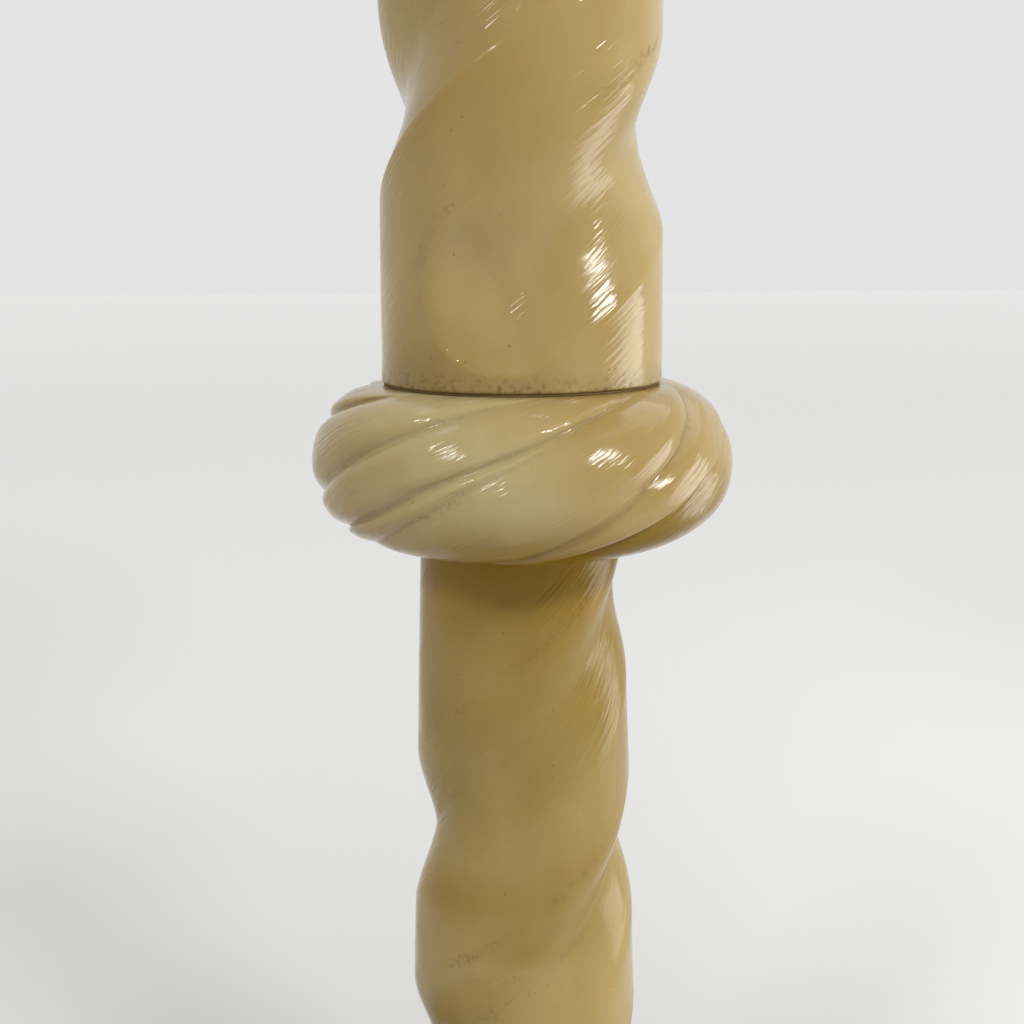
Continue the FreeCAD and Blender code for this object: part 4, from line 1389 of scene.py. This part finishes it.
@dataclass
class Fittings:
    """What the turned and threaded metal pieces share."""

    brass: Finish = Metal.PLAIN.value

    def ring(
        self,
        node: str,
        inner: float,
        finish: Finish,
        body: str = "font",
        soft: float = 0.3 * MM,
    ) -> bpy.types.Object:
        """A flat ring in the box of its CAD node, with softened edges."""
        low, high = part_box(node)
        corners = [
            Corner(inner, low.z, soft),
            Corner(high.x, low.z, soft),
            Corner(high.x, high.z, soft),
            Corner(inner, high.z, soft),
        ]
        piece = turned(f"{node}_ring", outline(corners), 96)
        return finish_piece(piece, body, finish, node)

    def thread(
        self, name: str, start: Sequence[Corner], top: float, pitch: float
    ) -> bpy.types.Object:
        """A threaded rod or tube: a turned blank whose side follows a helix.

        Args:
            name: the piece's name.
            start: its corners from the bore, or the axis, to the thread's foot.
            top: the height of its head.
            pitch: rise of one turn.

        Returns:
            The piece.
        """
        inner, radius, low = start[0].radius, start[-1].radius, start[-1].height
        corners = [*start, Corner(radius, top, 0.5 * MM), Corner(inner, top)]
        rows = outline(corners, pitch / 5, closed=inner > 0)
        piece = turned(name, rows, 48)
        for vertex in piece.data.vertices:
            x, y, z = vertex.co
            reach = math.hypot(x, y)
            if reach > radius - 0.1 * MM and low + pitch < z < top - pitch:
                phase = (z / pitch - math.atan2(y, x) / TURN) % 1.0
                sunk = 1 - 0.55 * pitch * abs(2 * phase - 1) / radius
                vertex.co = (x * sunk, y * sunk, z)
        return piece

    def nut(self, node: str, bore: float, body: str) -> bpy.types.Object:
        """A hexagon nut with turned corners, in the box of its CAD node."""
        low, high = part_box(node)
        flats = high.y - low.y
        apothem, corner = flats / 2, flats / math.sqrt(3)
        fall = (corner - apothem) * 0.55
        face = apothem * 0.97
        corners = [
            Corner(bore, low.z, 0.6 * MM),
            Corner(face, low.z),
            Corner(corner, low.z + fall),
            Corner(corner, high.z - fall),
            Corner(face, high.z),
            Corner(bore, high.z, 0.6 * MM),
        ]
        piece = turned(f"{node}_hexagon", outline(corners, 1.2 * MM), 96)
        for vertex in piece.data.vertices:
            x, y, z = vertex.co
            reach = math.hypot(x, y)
            off = (math.atan2(y, x) + math.radians(60)) % math.radians(60) - math.radians(30)
            side = apothem / math.cos(off)
            if reach > side:
                vertex.co = (x * side / reach, y * side / reach, z)
        sharpen(piece, 24.0)
        return finish_piece(piece, body, self.brass, node)


@dataclass
class Tie(Fittings):
    """The hollow tube that threads the stones together, and what clamps it."""

    tube: float = 13.45 * MM
    tube_wall: float = 2.95 * MM
    thread_pitch: float = 1.6 * MM
    spigot_long: float = 10 * MM
    spigot_step: float = 0.95 * MM
    clearance: float = 0.25 * MM

    def build(self) -> None:
        """Builds the tube, its plate, washer and nuts."""
        low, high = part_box("tie_tube")
        inner = self.tube - self.tube_wall
        foot = low.z + self.spigot_long
        spigot = self.tube - self.spigot_step
        start = [
            Corner(inner, low.z, 0.4 * MM),
            Corner(spigot, low.z, 0.8 * MM),
            Corner(spigot, foot),
            Corner(self.tube, foot, 0.5 * MM),
        ]
        piece = self.thread("tie_tube_threaded", start, high.z, self.thread_pitch)
        finish_piece(piece, "font", self.brass, "tie_tube")
        for node in ("foot_plate", "top_washer"):
            self.ring(node, self.tube + self.clearance, self.brass)
        for node in ("foot_nut", "lock_nut", "top_nut"):
            self.nut(node, self.tube, "font")


@dataclass
class Basin(Fittings):
    """The spun brass liner, its waste, gasket and strainer."""

    stem_bore: float = 10.45 * MM
    sheet: float = 1.5 * MM
    brim: float = 13 * MM
    floor: float = 57 * MM
    throat: float = 9 * MM
    stem: float = 10.2 * MM
    seat: float = 20 * MM
    sink: float = 6 * MM
    waste_high: float = 9 * MM
    flange: float = 31 * MM
    flange_edge: float = 3 * MM

    def build(self) -> None:
        """Builds the basin's pieces."""
        self.liner()
        self.ring("waste_gasket", self.stem_bore, RUBBER)
        self.waste()
        self.strainer()

    def liner(self) -> None:
        """The liner, with a rolled brim that lies on the bowl's rim."""
        low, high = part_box("basin_liner")
        brim = high.x
        side = brim - self.brim
        top = high.z - self.sheet
        arc = top - low.z
        turn = np.linspace(0.0, math.pi / 2, 56)
        outer = np.stack([self.floor + arc * np.sin(turn), top - arc * np.cos(turn)], 1)
        thin = arc - self.sheet
        inner = np.stack([self.floor + thin * np.sin(turn), top - thin * np.cos(turn)], 1)[::-1]
        lip = [
            Corner(brim, top, 0.7 * MM),
            Corner(brim, high.z, 0.7 * MM),
            Corner(side - self.sheet + 2.5 * MM, high.z),
            Corner(side - self.sheet + 0.6 * MM, high.z - 0.5 * MM),
        ]
        edge = outline(lip, 3 * MM, closed=False)
        sole = [[self.stem_bore, low.z]]
        floor = [[self.stem_bore, low.z + self.sheet]]
        rows = np.concatenate([sole, outer, edge, inner, floor])
        piece = turned("basin_liner_spun", rows, 220)
        finish_piece(piece, "font", Metal.LINER.value, "basin_liner")

    def waste(self) -> None:
        """The waste fitting with its plug seat."""
        low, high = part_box("waste_fitting")
        under = high.z - self.waste_high
        corners = [
            Corner(self.throat, low.z, 0.4 * MM),
            Corner(self.stem, low.z, 0.5 * MM),
            Corner(self.stem, under, 0.3 * MM),
            Corner(self.flange, under, 0.5 * MM),
            Corner(self.flange, high.z - self.flange_edge, 0.0, 0.9 * MM),
            Corner(self.flange - self.flange_edge, high.z, 0.5 * MM),
            Corner(self.seat, high.z, 0.8 * MM),
            Corner(self.seat, high.z - self.sink, 0.5 * MM),
            Corner(self.throat, high.z - self.sink, 0.6 * MM),
        ]
        piece = turned("waste_fitting_turned", outline(corners, 3 * MM), 128)
        finish_piece(piece, "font", self.brass, "waste_fitting")

    def strainer(self) -> None:
        """The strainer disc in the throat: a CAD node that keeps its own shape."""
        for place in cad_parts["strainer"].material_slots:
            place.material = self.brass.material()
        LOG.info("strainer: kept from the frame")


@dataclass
class Plug(Fittings):
    """The drain plug, its seal and its pull ring."""

    disc: float = 18 * MM
    neck: float = 4 * MM
    seal_high: float = 3 * MM
    disc_high: float = 4 * MM
    eye_rise: float = 7 * MM
    eye_hole: float = 2.6 * MM
    eye_wide: float = 9 * MM
    eye_thick: float = 3 * MM
    eye_foot: float = 6.5 * MM
    eye_steps: int = 20
    wire: float = 1.5 * MM
    pull: float = 10 * MM
    tilt: float = 14.0
    ring_steps: int = 72
    wire_steps: int = 16
    braze: float = 0.09
    braze_half: float = 0.16

    def build(self) -> None:
        """Builds the plug's pieces."""
        self.ring("plug_seal", self.neck, RUBBER, "plug", 0.6 * MM)
        self.plug()
        self.pull_ring()

    def plug(self) -> None:
        """The turned disc and its flat eye."""
        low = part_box("drain_plug")[0]
        base = low.z + self.seal_high
        top = base + self.disc_high
        corners = [
            Corner(0.0, low.z),
            Corner(self.neck, low.z, 0.3 * MM),
            Corner(self.neck, base, 0.3 * MM),
            Corner(self.disc, base, 0.6 * MM),
            Corner(self.disc, top - 1 * MM, 0.0, 0.2 * MM),
            Corner(self.disc - 3 * MM, top, 0.5 * MM),
            Corner(self.eye_foot, top, 0.6 * MM),
            Corner(0.0, top),
        ]
        piece = turned("drain_plug_turned", outline(corners, 2 * MM, closed=False), 96)
        eye = self.eye(top, top + self.eye_rise)
        for made in (piece, eye):
            finish_piece(made, "plug", self.brass, "drain_plug")

    def eye(self, foot: float, level: float) -> bpy.types.Object:
        """A flat ear with a round top and a hole, standing on foot, its hole at level."""
        work = bmesh.new()
        half = self.eye_wide / 2
        outer = [(-half, foot), (half, foot)]
        for step in range(self.eye_steps + 1):
            angle = math.pi * step / self.eye_steps
            outer.append((half * math.cos(angle), level + half * math.sin(angle)))
        hole = []
        for y, z in outer:
            angle = math.atan2(z - level, y)
            hole.append((self.eye_hole * math.cos(angle), level + self.eye_hole * math.sin(angle)))
        sides = []
        for x in (-self.eye_thick / 2, self.eye_thick / 2):
            sides.append([[work.verts.new((x, y, z)) for y, z in loop] for loop in (outer, hole)])
        for near, far in (*zip(*sides), *sides):
            band(work, near, far)
        soften(work, 60.0, 0.4 * MM, 2)
        return write_mesh("drain_plug_eye", work)

    def pull_ring(self) -> None:
        """The wire ring, brazed shut, hanging back from the eye."""
        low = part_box("drain_plug")[0]
        level = low.z + self.seal_high + self.disc_high + self.eye_rise
        lean = math.radians(self.tilt)
        across = Vector((1.0, 0.0, 0.0))
        down = Vector((0.0, math.cos(lean), -math.sin(lean)))
        centre = Vector((0.0, 0.0, level)) + down * self.pull
        normal = across.cross(down)
        work = bmesh.new()
        loops = []
        for step in range(self.ring_steps):
            angle = TURN * step / self.ring_steps
            out = across * math.sin(angle) - down * math.cos(angle)
            swell = 1.0 + self.braze * math.exp(-(((angle - math.pi) / self.braze_half) ** 2))
            loop = []
            for part in range(self.wire_steps):
                turn = TURN * part / self.wire_steps
                arm = (out * math.cos(turn) + normal * math.sin(turn)) * self.wire * swell
                loop.append(work.verts.new(centre + out * self.pull + arm))
            loops.append(loop)
        for here, there in zip(loops, [*loops[1:], loops[0]]):
            band(work, here, there)
        bmesh.ops.recalc_face_normals(work, faces=work.faces)
        piece = write_mesh("pull_ring_wire", work)
        finish_piece(piece, "plug_ring", self.brass, "pull_ring")


@dataclass
class Cover(Fittings):
    """The turned oak cover with its felt, boss, cross and stud."""

    spigot: float = 196 * MM
    shell: float = 14 * MM
    drop: float = 9 * MM
    edge: float = 18 * MM
    step: float = 14 * MM
    dome_top: float = 36 * MM
    hollow_rise: float = 28 * MM
    hollow_top: float = 46 * MM
    moulding: float = 3 * MM
    hole: float = 4.25 * MM
    stud_pitch: float = 1.25 * MM
    boss_neck: float = 10.5 * MM
    boss_head: float = 10 * MM
    boss_step: float = 4 * MM
    cross_arm: float = 12 * MM
    cross_level: float = 50 * MM
    cross_flare: float = 2.2 * MM
    cross_splay: float = 8 * MM
    cross_foot: float = 9 * MM

    def build(self) -> None:
        """Builds the cover's pieces."""
        self.dome()
        self.ring("cover_pad", self.spigot + 1 * MM, FELT, "cover", 0.6 * MM)
        self.boss()
        self.cross()
        low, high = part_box("cover_stud")
        start = [Corner(0.0, low.z), Corner(high.x, low.z, 0.5 * MM)]
        stud = self.thread("cover_stud_threaded", start, high.z, self.stud_pitch)
        finish_piece(stud, "cover", self.brass, "cover_stud")
        self.ring("cover_washer", self.hole, self.brass, "cover")
        self.nut("cover_nut", high.x, "cover")

    def dome(self) -> None:
        """The oak: a spigot, a moulded edge and a low dome over a hollow."""
        low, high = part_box("cover_dome")
        rim = high.x - self.moulding
        shoulder = low.z + self.drop
        waist = shoulder + self.edge * 0.55
        upper, brow = shoulder + self.edge, high.x - self.step
        corners = [
            Corner(self.hole, low.z + self.hollow_rise),
            Corner(self.hollow_top, low.z + self.hollow_rise, 2 * MM, -5 * MM),
            Corner(self.spigot - self.shell, low.z, 1 * MM),
            Corner(self.spigot, low.z, 1.5 * MM),
            Corner(self.spigot, shoulder, 0.5 * MM),
            Corner(rim, shoulder, 1.2 * MM, 2.4 * MM),
            Corner(rim, waist, 0.5 * MM),
            Corner(rim - 4 * MM, waist, 0.0, -1.6 * MM),
            Corner(brow, upper - 4 * MM, 0.3 * MM),
            Corner(brow, upper, 1 * MM, 8 * MM),
            Corner(self.dome_top + self.moulding, high.z - 1.2 * MM, 1 * MM),
            Corner(self.dome_top, high.z, 1 * MM),
            Corner(self.hole, high.z),
        ]
        piece = turned("cover_dome_oak", outline(corners, 5 * MM), 256)
        finish_piece(piece, "cover", OAK, "cover_dome")

    def boss(self) -> None:
        """The turned boss that carries the cross."""
        low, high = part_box("cover_boss")
        foot, top = high.x, high.z
        step, neck, head = foot - self.boss_step, self.boss_neck, self.boss_head
        corners = [
            Corner(self.hole, low.z),
            Corner(foot, low.z, 0.6 * MM),
            Corner(foot, low.z + 3 * MM, 0.8 * MM),
            Corner(step, low.z + 3.5 * MM, 0.5 * MM),
            Corner(step, low.z + 6 * MM, 0.4 * MM, -7 * MM),
            Corner(neck, top - 10 * MM, 0.3 * MM),
            Corner(neck, top - 9 * MM, 0.0, 2.6 * MM),
            Corner(head, top - 2 * MM, 0.3 * MM),
            Corner(head, top, 0.6 * MM),
            Corner(self.hole, top),
        ]
        piece = turned("cover_boss_turned", outline(corners, 2 * MM), 128)
        finish_piece(piece, "cover", Metal.POLISHED.value, "cover_boss")

    def cross(self) -> None:
        """A plain cross with bevelled edges and softly flared arm ends."""
        low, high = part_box("cover_cross")
        half, flare, splay = self.cross_arm / 2, self.cross_flare, self.cross_splay
        level = low.z + self.cross_level
        reach = high.x
        right = [
            (half + flare, low.z),
            (half, low.z + self.cross_foot),
            (half, level - half),
            (reach - splay, level - half),
            (reach, level - half - flare),
            (reach, level + half + flare),
            (reach - splay, level + half),
            (half, level + half),
            (half, high.z - splay),
            (half + flare, high.z),
        ]
        loop = right + [(-x, z) for x, z in reversed(right)]
        work = bmesh.new()
        front, back = ([work.verts.new((x, y, z)) for x, z in loop] for y in (low.y, high.y))
        work.faces.new(front)
        work.faces.new(list(reversed(back)))
        band(work, back, front)
        soften(work, 50.0, 1.2 * MM, 3)
        piece = write_mesh("cover_cross_bevelled", work, smooth=False)
        finish_piece(piece, "cover", Metal.POLISHED.value, "cover_cross")


# Studio


@dataclass(frozen=True)
class Window:
    """A lamp's name, place, width, height and power in watts."""

    name: str
    place: tuple[float, float, float]
    wide: float
    tall: float
    power: float


@dataclass
class Studio:
    """Floor, light and camera."""

    eye: Vector = field(default_factory=lambda: Vector((-4.6 * MM, -0.452, 0.600)))
    pitch: float = 13.2
    roll: float = 0.34
    lens: float = 36.07
    front: Colour = (0.33, 0.325, 0.31, 1.0)
    back: Colour = (0.775, 0.775, 0.775, 1.0)
    overhead: float = 1.2
    floor_reach: float = 30.0
    windows: Sequence[Window] = (
        Window("window_right", (1.55, -1.45, 2.15), 0.80, 0.40, 51.0),
        Window("window_left", (-1.45, -1.45, 2.15), 0.52, 0.30, 20.0),
        Window("bounce_right", (1.3, 0.1, 0.30), 0.7, 0.9, 9.0),
    )

    def build(self) -> None:
        """Sets up everything round the font."""
        self.floor()
        self.sky()
        self.lamps()
        self.camera()

    def floor(self) -> None:
        """A wide plain floor."""
        mesh = bpy.data.meshes.new("floor")
        sides = [(-1, -1), (1, -1), (1, 1), (-1, 1)]
        corners = [(x * self.floor_reach, y * self.floor_reach, 0.0) for x, y in sides]
        mesh.from_pydata(corners, [], [(0, 1, 2, 3)])
        floor = link("floor", mesh)
        mesh.materials.append(PaleFloor("pale_floor").material())

    def sky(self) -> None:
        """Even pale light, brighter from behind the font than from in front of it."""
        world = bpy.data.worlds.new("soft_room")
        world.use_nodes = True
        world.node_tree.nodes.clear()
        bpy.context.scene.world = world
        desk = NodeDesk(world.node_tree)
        way = desk.node("ShaderNodeTexCoord", output="Generated")
        behind = desk.between(desk.axes(way)[1], -0.55, 0.45)
        tone = desk.blend(behind, self.front, self.back)
        glow = desk.node("ShaderNodeBackground", {}, {"Color": tone, "Strength": 1.0})
        desk.place("ShaderNodeOutputWorld", {}, {"Surface": glow})

    def lamps(self) -> None:
        """Soft lamps: a window high on each side, light off a wall, and a sky overhead."""
        target = Vector((0.0, 0.0, 0.55))
        for window in self.windows:
            data = bpy.data.lights.new(window.name, "AREA")
            data.shape = "RECTANGLE"
            data.size, data.size_y = window.wide, window.tall
            data.energy = window.power
            aim = (target - Vector(window.place)).to_track_quat("-Z", "Y")
            axes = aim.to_matrix().to_4x4()
            link(window.name, data).matrix_world = Matrix.Translation(window.place) @ axes
        data = bpy.data.lights.new("overhead", "SUN")
        data.energy = self.overhead
        data.angle = math.radians(70.0)
        aim = Vector((-0.15, -0.35, -1.0)).to_track_quat("-Z", "Y")
        link("overhead", data).matrix_world = aim.to_matrix().to_4x4()

    def camera(self) -> None:
        """A close view of the knop from a little above it."""
        down, tip = math.radians(self.pitch), math.radians(self.roll)
        ahead = Vector((0.0, math.cos(down), -math.sin(down)))
        flat = Vector((1.0, 0.0, 0.0))
        upright = flat.cross(ahead)
        right = flat * math.cos(tip) - upright * math.sin(tip)
        above = right.cross(ahead)
        data = bpy.data.cameras.new("camera")
        data.sensor_width = 36.0
        data.lens = self.lens
        data.clip_start = 0.01
        camera = link("camera", data)
        axes = Matrix((right, above, -ahead)).transposed().to_4x4()
        camera.matrix_world = Matrix.Translation(self.eye) @ axes
        bpy.context.scene.camera = camera


def write_sizes() -> None:
    """Updates the view layer."""
    bpy.context.view_layer.update()


def main() -> None:
    """Builds the font from the floor up, then the studio round it."""
    logging.basicConfig(level=logging.INFO, format="%(name)s: %(message)s")
    for part in (Base(), Stem(), Bowl(), Tie(), Basin(), Plug(), Cover(), Studio()):
        LOG.info("building the %s", type(part).__name__.lower())
        part.build()
    bpy.context.scene.view_settings.view_transform = "Standard"
    write_sizes()


if __name__ == "__main__":
    main()
